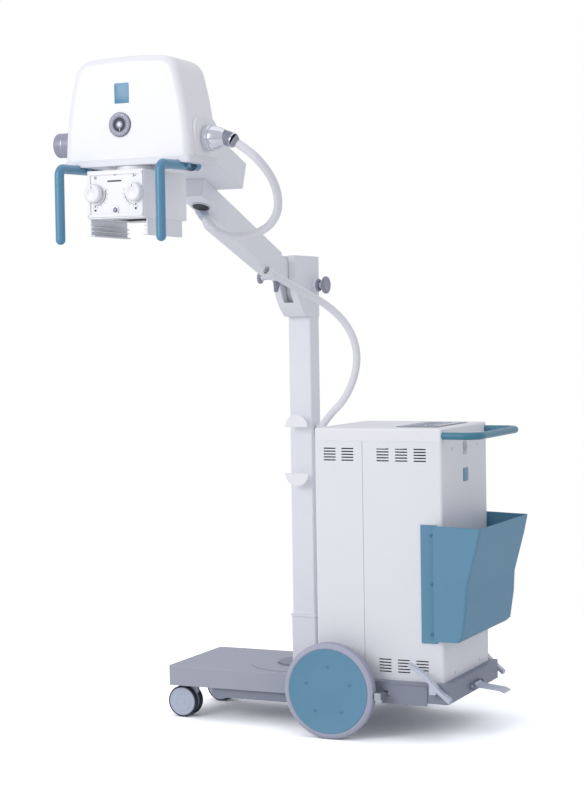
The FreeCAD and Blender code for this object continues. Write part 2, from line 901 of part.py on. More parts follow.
def holder_outline(inset, lift):
    """Side outline of the holder, moved in by the wall; lift raises its top."""
    front = holder_flange_rear - holder_wall + inset
    return [(front, holder_bottom + inset), (holder_floor_rear - inset, holder_bottom + inset),
            *[(x - inset, z) for x, z in holder_back],
            (holder_rear_x - inset, holder_top_rear + lift), (front, holder_top_front + lift)]


def make_cassette_holder():
    """Open-topped pocket behind the cabinet, with a flange along each cabinet side."""
    outer = plate_xz(holder_outline(0, 0), -holder_half_width, holder_half_width)
    edges = []
    for edge in outer.Edges:
        centre = edge.CenterOfMass
        on_side = abs(abs(centre.y) - holder_half_width) < 0.01
        if on_side and centre.x > holder_floor_rear + 5 and centre.z < holder_top_rear - 5:
            edges.append(edge)
    outer = outer.makeFillet(holder_fillet, edges)
    half_in = holder_half_width - holder_wall
    inner = plate_xz(holder_outline(holder_wall, 1), -half_in, half_in)
    cabinet_zone = box(holder_flange_rear - 10, cabinet_rear, -cabinet_half_width,
                       cabinet_half_width, holder_bottom - 1, holder_top_front + 1)
    pocket = outer.cut(inner).cut(cabinet_zone)
    parts = [pocket]
    for side in (-1, 1):
        y_in = side * cabinet_half_width
        y_out = side * (cabinet_half_width + holder_flange_thickness)
        parts.append(box(holder_flange_front, holder_flange_rear, min(y_in, y_out),
                         max(y_in, y_out), holder_flange_bottom, holder_top_front))
    return fuse(parts)


def make_holder_screws():
    screws = []
    face = cabinet_half_width + holder_flange_thickness
    for side in (-1, 1):
        for z in holder_screw_heights:
            screws.append(rod((holder_screw_x, side * face, z),
                              (holder_screw_x, side * (face + holder_screw_height), z),
                              screw_radius))
    return group(screws)


# Column


def make_spindle():
    """Pin that turns in the platform, with the round foot on it."""
    pin = rod((column_axis_x, 0, platform_top - platform_wall - spindle_depth),
              (column_axis_x, 0, platform_top + gap + 1), spindle_radius)
    foot = rod((column_axis_x, 0, platform_top + gap), (column_axis_x, 0, sleeve_bottom),
               foot_radius)
    return fuse([pin, foot])


def column_block(extra, z0, z1, corner):
    """Upright block with the column's section, larger by extra on every side."""
    half_x = column_depth / 2 + extra
    half_y = column_width / 2 + extra
    block = box(column_x - half_x, column_x + half_x, -half_y, half_y, z0, z1)
    return rounded_uprights(block, corner)


def make_column_tube():
    tube = column_block(0, sleeve_bottom, column_top, 6.0)
    return tube.cut(column_block(-column_wall, sleeve_bottom - 1, column_top + 1, 2.0))


def make_column_sleeve():
    """Lower sleeve that stiffens the tube, with a collar at its top."""
    sleeve = column_block(sleeve_wall, sleeve_bottom, sleeve_top, 7.0)
    collar = column_block(sleeve_wall + 3, sleeve_top, sleeve_top + collar_height, 8.0)
    both = fuse([sleeve, collar])
    return both.cut(column_block(0, sleeve_bottom - 1, sleeve_top + collar_height + 1, 6.0))


def make_cord_hooks():
    """Two half-round hooks on the column, between which the mains lead is wound."""
    near_face = -column_width / 2
    y_back = near_face - hook_standoff
    y_front = y_back - hook_thickness
    hooks = []
    for flat, radius, up in ((upper_hook_flat, upper_hook_radius, 1),
                             (lower_hook_flat, lower_hook_radius, -1)):
        disc = rod((column_x + 2, y_front, flat), (column_x + 2, y_back, flat), radius)
        half_low = flat if up > 0 else flat - radius
        half = disc.common(box(column_x - 2 * radius, column_x + 2 * radius, y_front, y_back,
                               half_low, half_low + radius))
        z_stem = flat + up * hook_stem_inset
        stem = rod((column_x + 2, y_back, z_stem), (column_x + 2, near_face, z_stem),
                   hook_stem_radius)
        hooks.append(fuse([half, stem]))
    return group(hooks)


def make_column_head():
    """Fork at the top of the column, with a curved front and a slot for the arm."""
    half = column_depth / 2
    x0 = column_x - half
    points = [V(x0, head_rear_y, column_top), V(x0, fork_curve_foot_y, column_top),
              V(x0, head_front_y, fork_curve_top), V(x0, head_front_y, fork_top),
              V(x0, head_rear_y, fork_top)]
    curve = Part.Arc(points[1], V(x0, fork_curve_y, fork_curve_z), points[2]).toShape()
    edges = [Part.LineSegment(points[0], points[1]).toShape(), curve,
             Part.LineSegment(points[2], points[3]).toShape(),
             Part.LineSegment(points[3], points[4]).toShape(),
             Part.LineSegment(points[4], points[0]).toShape()]
    block = Part.Face(Part.Wire(edges)).extrude(V(column_depth, 0, 0))
    s0 = column_x - slot_width / 2
    s1 = column_x + slot_width / 2
    inner_rear = head_rear_y - fork_wall + 1
    inner_top = fork_top - fork_wall
    hollow = plate_yz([(inner_rear, column_top - 1), (slot_rear_y, column_top - 1),
                       (slot_rear_y, slot_low), (slot_bend_y, slot_low),
                       (slot_step_y, slot_floor), (head_front_y - 1, slot_floor),
                       (head_front_y - 1, fork_top + 1), (slot_rear_y, fork_top + 1),
                       (slot_rear_y, inner_top), (inner_rear, inner_top)], s0, s1)
    head = block.cut(hollow)
    # Round collar of the pivot on the cabinet side
    x1 = column_x + half
    collar = ring((x1, 0, pivot_z), (x1 + pivot_collar_length, 0, pivot_z),
                  pivot_collar_radius, pivot_radius)
    head = fuse([head, collar])
    return head.cut(rod((x0 - 1, 0, pivot_z), (x1 + 1, 0, pivot_z), pivot_radius))


def make_pivot_pin():
    """Pin through the fork. Its thin end carries the clamp knob."""
    x0 = column_x - column_depth / 2
    x1 = column_x + column_depth / 2 + pivot_collar_length
    pin = rod((x0, 0, pivot_z), (x1, 0, pivot_z), pivot_radius)
    thread = rod((x1, 0, pivot_z), (x1 + 15, 0, pivot_z), pivot_radius - 3)
    return fuse([pin, thread])


def make_pivot_knob():
    """Clamp knob that locks the arm's tilt."""
    x0 = column_x + column_depth / 2 + pivot_collar_length + gap
    x1 = x0 + knob_neck_length
    neck = rod((x0, 0, pivot_z), (x1, 0, pivot_z), knob_neck_radius)
    grip = rod((x1, 0, pivot_z), (x1 + knob_thickness, 0, pivot_z), knob_radius)
    grip = grip.makeFillet(5.0, [e for e in grip.Edges if e.Length > 2 * pi * knob_radius - 1])
    bore = rod((x0 - 1, 0, pivot_z), (x0 + 15, 0, pivot_z), pivot_radius - 3 + running)
    return fuse([neck, grip]).cut(bore)


def make_balance_spring():
    """Gas spring in the column that carries the arm's weight."""
    body_foot = spring_foot_z + spring_foot_height
    z_eye = column_top - spring_eye_radius - 1
    foot = box(column_x - spring_body_radius, column_x + spring_body_radius,
               -column_width / 2 + column_wall, column_width / 2 - column_wall,
               spring_foot_z, body_foot)
    body = rod((column_x, 0, body_foot), (column_x, 0, spring_body_top), spring_body_radius)
    piston = rod((column_x, 0, spring_body_top), (column_x, 0, z_eye), spring_rod_radius)
    eye = rod((column_x - 6, 0, z_eye), (column_x + 6, 0, z_eye), spring_eye_radius)
    return fuse([foot, body, piston, eye])


def along_line(start, toward, length):
    """The point at a distance from start, in the direction of another point."""
    a = V(*start)
    step = (V(*toward) - a).normalize()
    end = a + step * length
    return (end.x, end.y, end.z)


def make_column_gland():
    """Angled gland that takes the lower hose into the column."""
    end = lower_hose_points[-1]
    before = lower_hose_points[-2]
    root = along_line(end, before, -46)
    body = rod(root, end, gland_radius)
    return body.cut(box(column_x - column_depth, column_x + column_depth / 2, -100, 100, 900, 1100))


# Arm


def arm_box(inset, start, end):
    """The level arm's tapered block, moved in by inset on all four long sides."""
    run = arm_end - arm_start
    half_start = arm_root_width / 2 - inset
    half_end = half_start + (arm_end_width - arm_root_width) / 2 * (end - arm_start) / run
    half_first = half_start + (arm_end_width - arm_root_width) / 2 * (start - arm_start) / run
    plan = plate_xy([(column_x - half_first, -start), (column_x - half_end, -end),
                     (column_x + half_end, -end), (column_x + half_first, -start)],
                    arm_bottom - 5, arm_top + 5)
    rise = arm_taper_rise
    side = [(-start, arm_bottom + inset), (-start, arm_top - inset), (-end, arm_top - inset),
            (-end, arm_bottom + inset + rise + arm_nose_rise),
            (-arm_taper_break, arm_bottom + inset + rise), (-arm_taper_start, arm_bottom + inset)]
    profile = plate_yz(side, column_x - arm_end_width, column_x + arm_end_width)
    return plan.common(profile)


def make_arm_beam():
    """Tapered box arm with the tongue and the curved shield that close the fork's slot."""
    beam = arm_box(0, arm_start, arm_end)
    hollow = arm_box(arm_wall, arm_start + 6, arm_end - arm_wall)
    beam = beam.cut(hollow)
    half = tongue_width / 2
    tongue = box(column_x - half, column_x + half, -arm_start, 0, tongue_bottom, arm_top)
    eye = rod((column_x - half, 0, 0), (column_x + half, 0, 0), tongue_eye)
    lug = box(column_x - half, column_x + half, -lug_end, -lug_start, lug_bottom, tongue_bottom)
    shield = shield_arc(half)
    arm = fuse([beam, tongue, eye, lug, shield])
    bore = rod((column_x - half - 1, 0, 0), (column_x + half + 1, 0, 0), pivot_radius + running)
    arm = arm.cut(bore)
    return arm_place(arm)


def shield_arc(half):
    """Curved strip under the tongue, centred on the pivot."""
    disc = rod((column_x - half, 0, 0), (column_x + half, 0, 0), shield_radius)
    disc = disc.cut(rod((column_x - half - 1, 0, 0), (column_x + half + 1, 0, 0),
                        shield_radius - shield_thickness))
    reach = 2 * shield_radius
    corners = [(0, 0)]
    for turn in (shield_start, (shield_start + shield_end) / 2, shield_end):
        corners.append((-reach * cos(radians(turn)), -reach * sin(radians(turn))))
    wedge = plate_yz(corners, column_x - half, column_x + half)
    return disc.common(wedge)


def make_arm_fittings():
    """Round cap and hose gland under the arm's end, and the hose outlet at its side."""
    run = arm_end - arm_taper_break
    share = (arm_cap_at - arm_taper_break) / run
    cap_low = arm_bottom + arm_taper_rise + arm_nose_rise * share
    slope = atan2(arm_nose_rise, run)
    below = V(0, -sin(slope), -cos(slope))
    foot = V(column_x, -arm_cap_at, cap_low)
    cap = Part.makeCylinder(arm_cap_radius, arm_cap_height, foot, below)
    cap = arm_place(cap)
    end = upper_hose_points[-1]
    root = along_line(end, upper_hose_points[-2], -40)
    gland = rod(end, root, gland_radius - 2)
    start = lower_hose_points[0]
    outlet_root = along_line(start, lower_hose_points[1], -44)
    outlet = rod(outlet_root, start, gland_radius - 2)
    arm_solid = arm_place(arm_box(0, arm_start, arm_end))
    return group([cap, gland.cut(arm_solid), outlet.cut(arm_solid), arm_place(make_buffer())])


def make_buffer():
    """Ribbed rubber buffer under the lug of the level arm."""
    pitch = buffer_length / buffer_ribs
    ribs = []
    for k in range(buffer_ribs):
        high = lug_bottom - k * pitch
        wide = buffer_radius - k
        ribs.append(Part.makeCone(wide, wide - 3, pitch, V(column_x - 4, -lock_along, high),
                                  V(0, 0, -1)))
    return fuse(ribs)


def make_end_box():
    """Open box at the arm's end, with two ears that hold the head's trunnion."""
    x0 = column_x - end_box_half_width
    x1 = column_x + end_box_half_width
    wall = end_box_wall
    low = arm_top
    high = end_box_top
    parts = [box(x0, x1, -end_box_plates_end, -end_box_start, low, low + wall),
             box(x0, x1, -end_box_plates_end, -end_box_start, high - wall, high),
             box(x0, x1, -end_box_start - wall, -end_box_start, low, high)]
    for x_in, x_out in ((x0, x0 + wall), (x1 - wall, x1)):
        parts.append(box(x_in, x_out, -head_pivot_along, -end_box_start, low, high))
        parts.append(rod((x_in, -head_pivot_along, head_pivot_above),
                         (x_out, -head_pivot_along, head_pivot_above), ear_radius))
    whole = fuse(parts)
    for x_in, x_out in ((x0, x0 + wall), (x1 - wall, x1)):
        whole = whole.cut(rod((x_in - 1, -head_pivot_along, head_pivot_above),
                              (x_out + 1, -head_pivot_along, head_pivot_above),
                              trunnion_radius + running))
    return arm_place(whole)


def make_side_knob():
    """Small knob on the arm's far side, screwed against the lug."""
    x_face = column_x - tongue_width / 2 - gap
    x_grip = x_face - lock_shaft_length
    shaft = rod((x_grip, -lock_along, lock_above), (x_face, -lock_along, lock_above),
                lock_shaft_radius)
    grip = rod((x_grip - lock_knob_thickness, -lock_along, lock_above),
               (x_grip, -lock_along, lock_above), lock_knob_radius)
    rims = [e for e in grip.Edges if e.Length > 2 * pi * lock_knob_radius - 1]
    return arm_place(fuse([shaft, grip.makeFillet(4.0, rims)]))


# Head


def head_outline(inset, y):
    """Front outline of the head cover, moved in by inset."""
    def at(x, z):
        return V(head_x + x, y, z)

    half = head_half_width - inset
    middle = head_middle_half_width - inset
    shoulder = head_shoulder_half_width - inset
    crown = head_crown_half_width - inset
    low = base_plate_top
    round_x = (shoulder + crown) / 2 + head_round_out
    round_z = (head_shoulder_z + head_edge_z) / 2 + head_round_up
    right = Part.Arc(at(half, low), at(middle, head_middle_z), at(shoulder, head_shoulder_z))
    right_round = Part.Arc(at(shoulder, head_shoulder_z), at(round_x, round_z),
                           at(crown, head_edge_z - inset))
    top = Part.Arc(at(crown, head_edge_z - inset), at(0, head_crown_z - inset),
                   at(-crown, head_edge_z - inset))
    left_round = Part.Arc(at(-crown, head_edge_z - inset), at(-round_x, round_z),
                          at(-shoulder, head_shoulder_z))
    left = Part.Arc(at(-shoulder, head_shoulder_z), at(-middle, head_middle_z), at(-half, low))
    base = Part.LineSegment(at(-half, low), at(half, low))
    return Part.Wire([c.toShape() for c in (right, right_round, top, left_round, left, base)])


def head_block(inset, fillet):
    """The head cover's outer or inner shape."""
    y0 = head_front + inset
    y1 = head_rear - inset
    block = Part.Face(head_outline(inset, y0)).extrude(V(0, y1 - y0, 0))
    around = []
    for edge in block.Edges:
        flat = abs(edge.BoundBox.YMax - edge.BoundBox.YMin) < 0.01
        if flat and edge.BoundBox.ZMax > base_plate_top + 0.5:
            around.append(edge)
    return block.makeFillet(fillet, around)


def make_head_cover():
    """White cover over the tube housing, open below, with a window for the trunnion."""
    outer = head_block(0, head_fillet)
    inner = head_block(head_skin, head_fillet - head_skin)
    boss_low = base_plate_top + 4
    boss = box(head_x + head_half_width - 20, boss_x, boss_front, boss_rear, boss_low, boss_top)
    boss = boss.makeFillet(boss_fillet, [e for e in boss.Edges
                                         if abs(e.CenterOfMass.z - boss_top) < 0.01
                                         and abs(e.BoundBox.XMax - e.BoundBox.XMin) > 20])
    cover = fuse([outer, boss]).cut(inner)
    cover = cover.cut(box(head_x - trunnion_block / 2 - gap, head_x + trunnion_block / 2 + gap,
                          head_rear - 2 * head_skin, head_rear + 1,
                          trunnion_low - gap, trunnion_high + gap))
    cover = cover.cut(rod((end_cap_x, end_cap_y, end_cap_z),
                          (head_x - head_half_width + 40, end_cap_y, end_cap_z),
                          end_cap_radius))
    return cover


def make_base_plate():
    """Plate under the cover, with the beam port and grooves for the two grips."""
    plate = box(head_x - head_half_width, head_x + head_half_width, head_front, head_rear,
                base_plate_bottom, base_plate_top)
    plate = rounded_uprights(plate, base_plate_corner)
    plate = plate.cut(rod((head_x, collimator_y, base_plate_bottom - 1),
                          (head_x, collimator_y, base_plate_top + 1), beam_port_radius))
    for side in (-1, 1):
        x = head_x + side * grip_offset
        plate = plate.cut(rod((x, grip_front, grip_front_z), (x, grip_rear + 2, grip_rear_z),
                              grip_radius + 0.3))
    return plate


def make_tube_housing():
    """Lead-lined housing with its port, the glass tube inside and the cap at its end."""
    x0 = head_x - housing_length / 2
    x1 = head_x + housing_length / 2
    in0 = x0 + housing_end
    in1 = x1 - housing_end
    port_top = housing_z - beam_port_radius
    shell = ring((x0, housing_y, housing_z), (x1, housing_y, housing_z),
                 housing_radius, housing_radius - housing_wall)
    ends = [rod((x0, housing_y, housing_z), (in0, housing_y, housing_z), housing_radius),
            rod((in1, housing_y, housing_z), (x1, housing_y, housing_z), housing_radius)]
    port = rod((head_x, collimator_y, base_plate_top), (head_x, collimator_y, port_top),
               beam_port_radius + housing_end)
    shell = fuse([shell] + ends + [port])
    shell = shell.cut(rod((in0, housing_y, housing_z), (in1, housing_y, housing_z),
                          housing_radius - housing_wall))
    shell = shell.cut(rod((head_x, collimator_y, base_plate_top - 1),
                          (head_x, collimator_y, port_top + 10), beam_port_radius))
    glass = fuse([rod((in0 + tube_neck_length, housing_y, housing_z),
                      (in1 - tube_neck_length, housing_y, housing_z), tube_radius),
                  rod((in0, housing_y, housing_z), (in1, housing_y, housing_z),
                      tube_neck_radius)])
    return group([shell, glass, make_end_cap()])


def make_trunnion():
    """Cross shaft in the ears, with the block that carries the tube housing."""
    _, y, z = arm_point(0, head_pivot_along, head_pivot_above)
    reach = end_box_half_width + 2
    shaft = rod((head_x - reach, y, z), (head_x + reach, y, z), trunnion_radius)
    hub = rod((head_x - trunnion_block / 2, y, z), (head_x + trunnion_block / 2, y, z),
              trunnion_height / 2)
    neck = box(head_x - trunnion_block / 2, head_x + trunnion_block / 2, head_rear - 10, y,
               trunnion_low, trunnion_high)
    saddle = rod((head_x - trunnion_block / 2, housing_y, housing_z),
                 (head_x + trunnion_block / 2, housing_y, housing_z),
                 housing_radius + saddle_wall)
    reach_in = box(head_x - trunnion_block / 2, head_x + trunnion_block / 2, housing_y, head_rear - 9,
                   trunnion_low, trunnion_high)
    inner = saddle.common(reach_in)
    outer = fuse([shaft, hub, neck, inner])
    return outer.cut(rod((head_x - housing_length / 2, housing_y, housing_z),
                         (head_x + housing_length / 2, housing_y, housing_z), housing_radius))


def make_dial():
    """Round tilt scale on the front of the cover: ring, sunk face and boss."""
    bezel = ring((dial_x, head_front, dial_z), (dial_x, head_front - dial_depth, dial_z),
                 dial_radius, dial_radius - dial_rim)
    face = rod((dial_x, head_front, dial_z), (dial_x, head_front - 2, dial_z),
               dial_radius - dial_rim)
    boss = rod((dial_x, head_front - 2, dial_z), (dial_x, head_front - dial_depth + 1, dial_z),
               dial_boss_radius)
    return fuse([bezel, face, boss])


def make_end_cap():
    """Grey end of the tube housing that sticks out of the cover."""
    inner_end = head_x - housing_length / 2
    cap = rod((end_cap_x, end_cap_y, end_cap_z), (inner_end, end_cap_y, end_cap_z), end_cap_radius)
    rim = [e for e in cap.Edges if e.CenterOfMass.x < end_cap_x + 0.1]
    return cap.makeFillet(end_cap_fillet, rim)


def make_hose_elbow():
    """Metal elbow that takes the upper hose out of the head."""
    start = upper_hose_points[0]
    size = elbow_dome_radius
    x_drum = boss_x + elbow_flange_depth
    x_dome = x_drum + elbow_drum_length
    flange = rod((boss_x, elbow_y, elbow_z), (x_drum, elbow_y, elbow_z), elbow_flange_radius)
    drum = rod((x_drum, elbow_y, elbow_z), (x_dome, elbow_y, elbow_z), size)
    dome = Part.makeSphere(size, V(x_dome, elbow_y, elbow_z))
    dome = dome.common(box(x_dome, x_dome + 2 * size, elbow_y - 2 * size, elbow_y + 2 * size,
                           elbow_z - 2 * size, elbow_z + 2 * size))
    back = along_line(start, upper_hose_points[1], -24)
    middle = along_line(start, upper_hose_points[1], -22)
    nut = rod(middle, start, elbow_nut_radius)
    sleeve = rod((x_dome + elbow_sleeve_inset, elbow_y, elbow_z), back, elbow_sleeve_radius)
    return fuse([flange, drum, dome, sleeve, nut])


def make_head_grips():
    """Two bent tubes for guiding the head, and the clamps that hold them."""
    parts = []
    for side in (-1, 1):
        x = head_x + side * grip_offset
        points = [(x, grip_rear, grip_rear_z), (x, grip_front, grip_front_z),
                  (x, grip_front, grip_bottom)]
        grip, _, _ = bent_tube(points, grip_radius, lambda a, b, turn: grip_bend)
        end = Part.makeSphere(grip_radius, V(x, grip_front, grip_bottom))
        grip = fuse([grip, end])
        parts.append(grip)
        for k in range(clamp_count):
            y = head_front + clamp_inset + k * clamp_pitch
            clamp = box(x - clamp_width / 2, x + clamp_width / 2, y, y + clamp_length,
                        base_plate_bottom - clamp_height, base_plate_bottom)
            parts.append(clamp.cut(grip))
    return group(parts)


# Collimator


def make_collimator_case():
    """Hollow case with a raised frame in front, ledges inside and a round neck on top."""
    x0 = head_x - collimator_half_width
    x1 = head_x + collimator_half_width
    body = box(x0, x1, collimator_front, collimator_rear, collimator_bottom, collimator_top)
    body = rounded_uprights(body, collimator_corner)
    wall = collimator_wall
    body = body.cut(box(x0 + wall, x1 - wall, collimator_front + wall, collimator_rear - wall,
                        collimator_bottom + wall, collimator_top - wall))
    frame_in = panel_inset + panel_frame
    lip = box(x0 + panel_inset, x1 - panel_inset, collimator_front - panel_lip, collimator_front,
              collimator_bottom + panel_inset, collimator_top - panel_inset)
    lip = lip.cut(box(x0 + frame_in, x1 - frame_in, collimator_front - panel_lip - 1,
                      collimator_front + 1, collimator_bottom + frame_in,
                      collimator_top - frame_in))
    neck = rod((head_x, collimator_y, collimator_top), (head_x, collimator_y,
               base_plate_bottom - gap), collimator_neck_radius)
    parts = [body, lip, neck]
    for side in (-1, 1):
        y_ledge = collimator_y + side * ledge_reach
        y_edge = collimator_y + side * (ledge_reach + ledge_width)
        parts.append(box(x0 + 1, x1 - 1, min(y_ledge, y_edge), max(y_ledge, y_edge),
                         blade_z - ledge_thickness - gap, blade_z - gap))
        x_ledge = head_x + side * ledge_reach
        x_edge = head_x + side * (ledge_reach + ledge_width)
        parts.append(box(min(x_ledge, x_edge), max(x_ledge, x_edge), collimator_front + 1,
                         collimator_rear - 1, upper_blade_z - ledge_thickness - gap,
                         upper_blade_z - gap))
    case = fuse(parts)
    beam = rod((head_x, collimator_y, collimator_top - 10), (head_x, collimator_y,
               base_plate_bottom), beam_port_radius - 5)
    case = case.cut(beam)
    port = box(head_x - port_half_width, head_x + port_half_width,
               collimator_y - port_half_width, collimator_y + port_half_width,
               collimator_bottom - 1, collimator_bottom + wall + 1)
    case = case.cut(port)
    for x in (head_x - knob_offset, head_x + knob_offset):
        case = case.cut(rod((x, collimator_front - 10, knob_z), (x, collimator_front + 10, knob_z),
                            dial_shaft_radius + running))
    return case.cut(rod((head_x, collimator_front - 10, button_z),
                        (head_x, collimator_front + 10, button_z), button_radius + running))


def make_rails():
    """Two channels under the collimator that hold a filter or cone."""
    rails = []
    for side in (-1, 1):
        outer = head_x + side * collimator_half_width
        inner = outer - side * rail_thickness
        lip_end = outer - side * rail_lip
        web = box(min(outer, inner), max(outer, inner), rail_front, rail_rear, rail_bottom,
                  collimator_bottom)
        lip = box(min(outer, lip_end), max(outer, lip_end), rail_front, rail_rear, rail_bottom,
                  rail_bottom + rail_thickness)
        rails.append(fuse([web, lip]))
    return group(rails)


def make_dial_knob(x):
    """Round knob on the collimator's front, with the shaft behind it."""
    y_face = collimator_front - panel_lip - gap
    grip = rod((x, y_face, knob_z), (x, y_face - dial_knob_depth, knob_z), dial_knob_radius)
    rim = [e for e in grip.Edges if e.CenterOfMass.y < y_face - dial_knob_depth + 0.1]
    grip = grip.makeFillet(3.0, rim)
    shaft = rod((x, y_face, knob_z), (x, collimator_front + 16, knob_z), dial_shaft_radius)
    return fuse([grip, shaft])


def make_light_button():
    """Push button for the field light, with a collar inside the case."""
    wall_in = collimator_front + collimator_wall
    pin = rod((head_x, collimator_front - button_reach, button_z),
              (head_x, wall_in + gap + 2, button_z), button_radius)
    collar = rod((head_x, wall_in + gap, button_z), (head_x, wall_in + gap + 2, button_z),
                 button_radius + 3)
    return fuse([pin, collar])


def make_blades():
    """Two pairs of lead shutters, one pair over the other."""
    for side, name in ((-1, "blade_left"), (1, "blade_right")):
        a = head_x + side * blade_opening
        b = head_x + side * (blade_opening + blade_length)
        nodes[name] = box(min(a, b), max(a, b), collimator_y - blade_half_width,
                          collimator_y + blade_half_width, blade_z, blade_z + blade_thickness)
    for side, name in ((-1, "blade_front"), (1, "blade_rear")):
        a = collimator_y + side * blade_opening
        b = collimator_y + side * (blade_opening + blade_length)
        nodes[name] = box(head_x - blade_half_width, head_x + blade_half_width, min(a, b),
                          max(a, b), upper_blade_z, upper_blade_z + blade_thickness)


# Hoses


def make_hose(points, name):
    """Flexible hose along its route; prints its bends and checks its volume."""
    tube, length, bends = bent_tube(points, hose_radius, widest_bend)
    expected = pi * hose_radius ** 2 * length
    print(name, "length", round(length), "radii", [round(b) for b in bends],
          "volume ratio", round(tube.Volume / expected, 4))
    nodes[name] = tube


# Places worked out from the sizes above
caster_stem_x = caster_axle_x + caster_trail
holder_half_width = cabinet_half_width + holder_overhang
collimator_y = (collimator_front + collimator_rear) / 2
blade_z = collimator_bottom + blade_lift
upper_blade_z = blade_z + blade_thickness + ledge_thickness + 2 * gap
brake_bar_front = wheel_radius + shoe_gap + 10
brake_bar_rear = brake_bar_front + bar_thickness
brake_bar_bottom = pedal_shaft_z - crank_length + 1
brake_bar_top = brake_bar_bottom + bar_thickness
_, trunnion_y, trunnion_z = arm_point(0, head_pivot_along, head_pivot_above)
trunnion_low = trunnion_z - trunnion_height / 2
trunnion_high = trunnion_z + trunnion_height / 2

nodes["chassis_frame"] = make_chassis()
nodes["front_platform"] = make_platform()
nodes["platform_underpan"] = make_underpan()
nodes["mains_inlet"] = make_inlet()
nodes["ballast_plate"] = make_ballast()
nodes["column_bearing"] = make_column_bearing()
nodes["rear_axle"] = make_rear_axle()
make_wheel(-1, "wheel_left")
make_wheel(1, "wheel_right")
make_caster(-1, "caster_left")
make_caster(1, "caster_right")
nodes["brake_pedals"] = make_brake_pedals()
nodes["brake_bar"] = make_brake_bar()
nodes["step_pedal"] = make_step_pedal()
nodes["cabinet_front_cover"] = make_front_cover()
nodes["cabinet_rear_cover"] = make_rear_cover()
nodes["cabinet_top_cover"] = make_top_cover()
nodes["control_panel"] = make_control_panel()
nodes["generator_tank"] = make_generator()
nodes["power_electronics"] = make_electronics()
nodes["push_handle"] = make_push_handle()
nodes["cassette_holder"] = make_cassette_holder()
nodes["holder_screws"] = make_holder_screws()
nodes["column_spindle"] = make_spindle()
nodes["column_tube"] = make_column_tube()
nodes["column_sleeve"] = make_column_sleeve()
nodes["cord_hooks"] = make_cord_hooks()
nodes["column_head"] = make_column_head()
nodes["arm_pivot_pin"] = make_pivot_pin()
nodes["pivot_knob"] = make_pivot_knob()
nodes["balance_spring"] = make_balance_spring()
nodes["column_hose_gland"] = make_column_gland()
nodes["arm_beam"] = make_arm_beam()
nodes["arm_fittings"] = make_arm_fittings()
nodes["arm_end_box"] = make_end_box()
nodes["side_knob"] = make_side_knob()
nodes["head_trunnion"] = make_trunnion()
nodes["head_cover"] = make_head_cover()
nodes["head_base_plate"] = make_base_plate()
nodes["tube_housing"] = make_tube_housing()
nodes["head_dial"] = make_dial()
nodes["hose_elbow"] = make_hose_elbow()
nodes["head_grips"] = make_head_grips()
nodes["collimator_case"] = make_collimator_case()
nodes["accessory_rails"] = make_rails()
nodes["knob_width"] = make_dial_knob(head_x - knob_offset)
nodes["knob_length"] = make_dial_knob(head_x + knob_offset)
nodes["light_button"] = make_light_button()
make_blades()
make_hose(upper_hose_points, "hose_upper")
make_hose(lower_hose_points, "hose_lower")

os.makedirs("parts", exist_ok=True)
for node, shape in nodes.items():
    if not shape.isValid():
        print("not valid:", node)
    shape.exportStep("parts/" + node + ".step")
print(len(nodes), "nodes")
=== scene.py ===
# %% [markdown]
# # A mobile x-ray machine
# This lesson dresses a machine whose solids come from a CAD model. The solids are the frame: they fix
# every size and every hinge. Blender adds what a camera notices: paint, rubber, knurling, scales,
# screws and hoses. We first load the frame. Nothing we add may reach out of it.

# %% Load the frame
import json
from math import atan2, cos, pi, radians, sin

import bmesh
import bpy
from mathutils import Matrix, Vector


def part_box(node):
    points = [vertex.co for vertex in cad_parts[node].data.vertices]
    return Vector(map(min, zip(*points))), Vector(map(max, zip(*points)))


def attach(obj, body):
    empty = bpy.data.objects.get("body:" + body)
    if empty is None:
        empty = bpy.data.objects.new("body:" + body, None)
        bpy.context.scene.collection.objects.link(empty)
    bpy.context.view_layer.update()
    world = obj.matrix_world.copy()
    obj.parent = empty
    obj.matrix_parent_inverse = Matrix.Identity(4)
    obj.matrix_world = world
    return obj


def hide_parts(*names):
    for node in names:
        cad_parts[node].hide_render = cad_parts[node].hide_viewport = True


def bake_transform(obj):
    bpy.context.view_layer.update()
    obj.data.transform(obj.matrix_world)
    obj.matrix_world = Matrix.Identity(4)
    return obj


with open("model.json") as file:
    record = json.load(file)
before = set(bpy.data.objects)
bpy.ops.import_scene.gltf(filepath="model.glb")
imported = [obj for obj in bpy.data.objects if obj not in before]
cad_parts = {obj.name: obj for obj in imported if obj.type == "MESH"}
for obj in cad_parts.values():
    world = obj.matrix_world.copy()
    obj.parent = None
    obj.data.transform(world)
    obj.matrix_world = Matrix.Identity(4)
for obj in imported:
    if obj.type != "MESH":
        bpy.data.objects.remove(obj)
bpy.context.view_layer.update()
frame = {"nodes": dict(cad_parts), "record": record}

# %% [markdown]
# ## The camera
# The picture was taken from a little more than a metre off the floor, well to the side, through a
# long lens. A camera is a place and three directions: where it looks, what is right and what is up.
# We turn the level directions by a small roll, because the picture is not quite level.

# %% Camera
camera_place = Vector((2.4602, -5.9494, 1.3685))
heading = radians(24.61)
pitch_down = radians(2.27)
roll = radians(-0.92)

look = Vector((-sin(heading) * cos(pitch_down), cos(heading) * cos(pitch_down), -sin(pitch_down)))
level_right = Vector((cos(heading), sin(heading), 0))
level_up = level_right.cross(look)
right = level_right * cos(roll) + level_up * sin(roll)
up = level_up * cos(roll) - level_right * sin(roll)

camera = bpy.data.objects.new("camera", bpy.data.cameras.new("camera"))
bpy.context.scene.collection.objects.link(camera)
camera.matrix_world = Matrix.Translation(camera_place) @ Matrix((right, up, -look)).transposed().to_4x4()
camera.data.lens = 84.16
bpy.context.scene.camera = camera
print("camera looks along", [round(v, 3) for v in look])
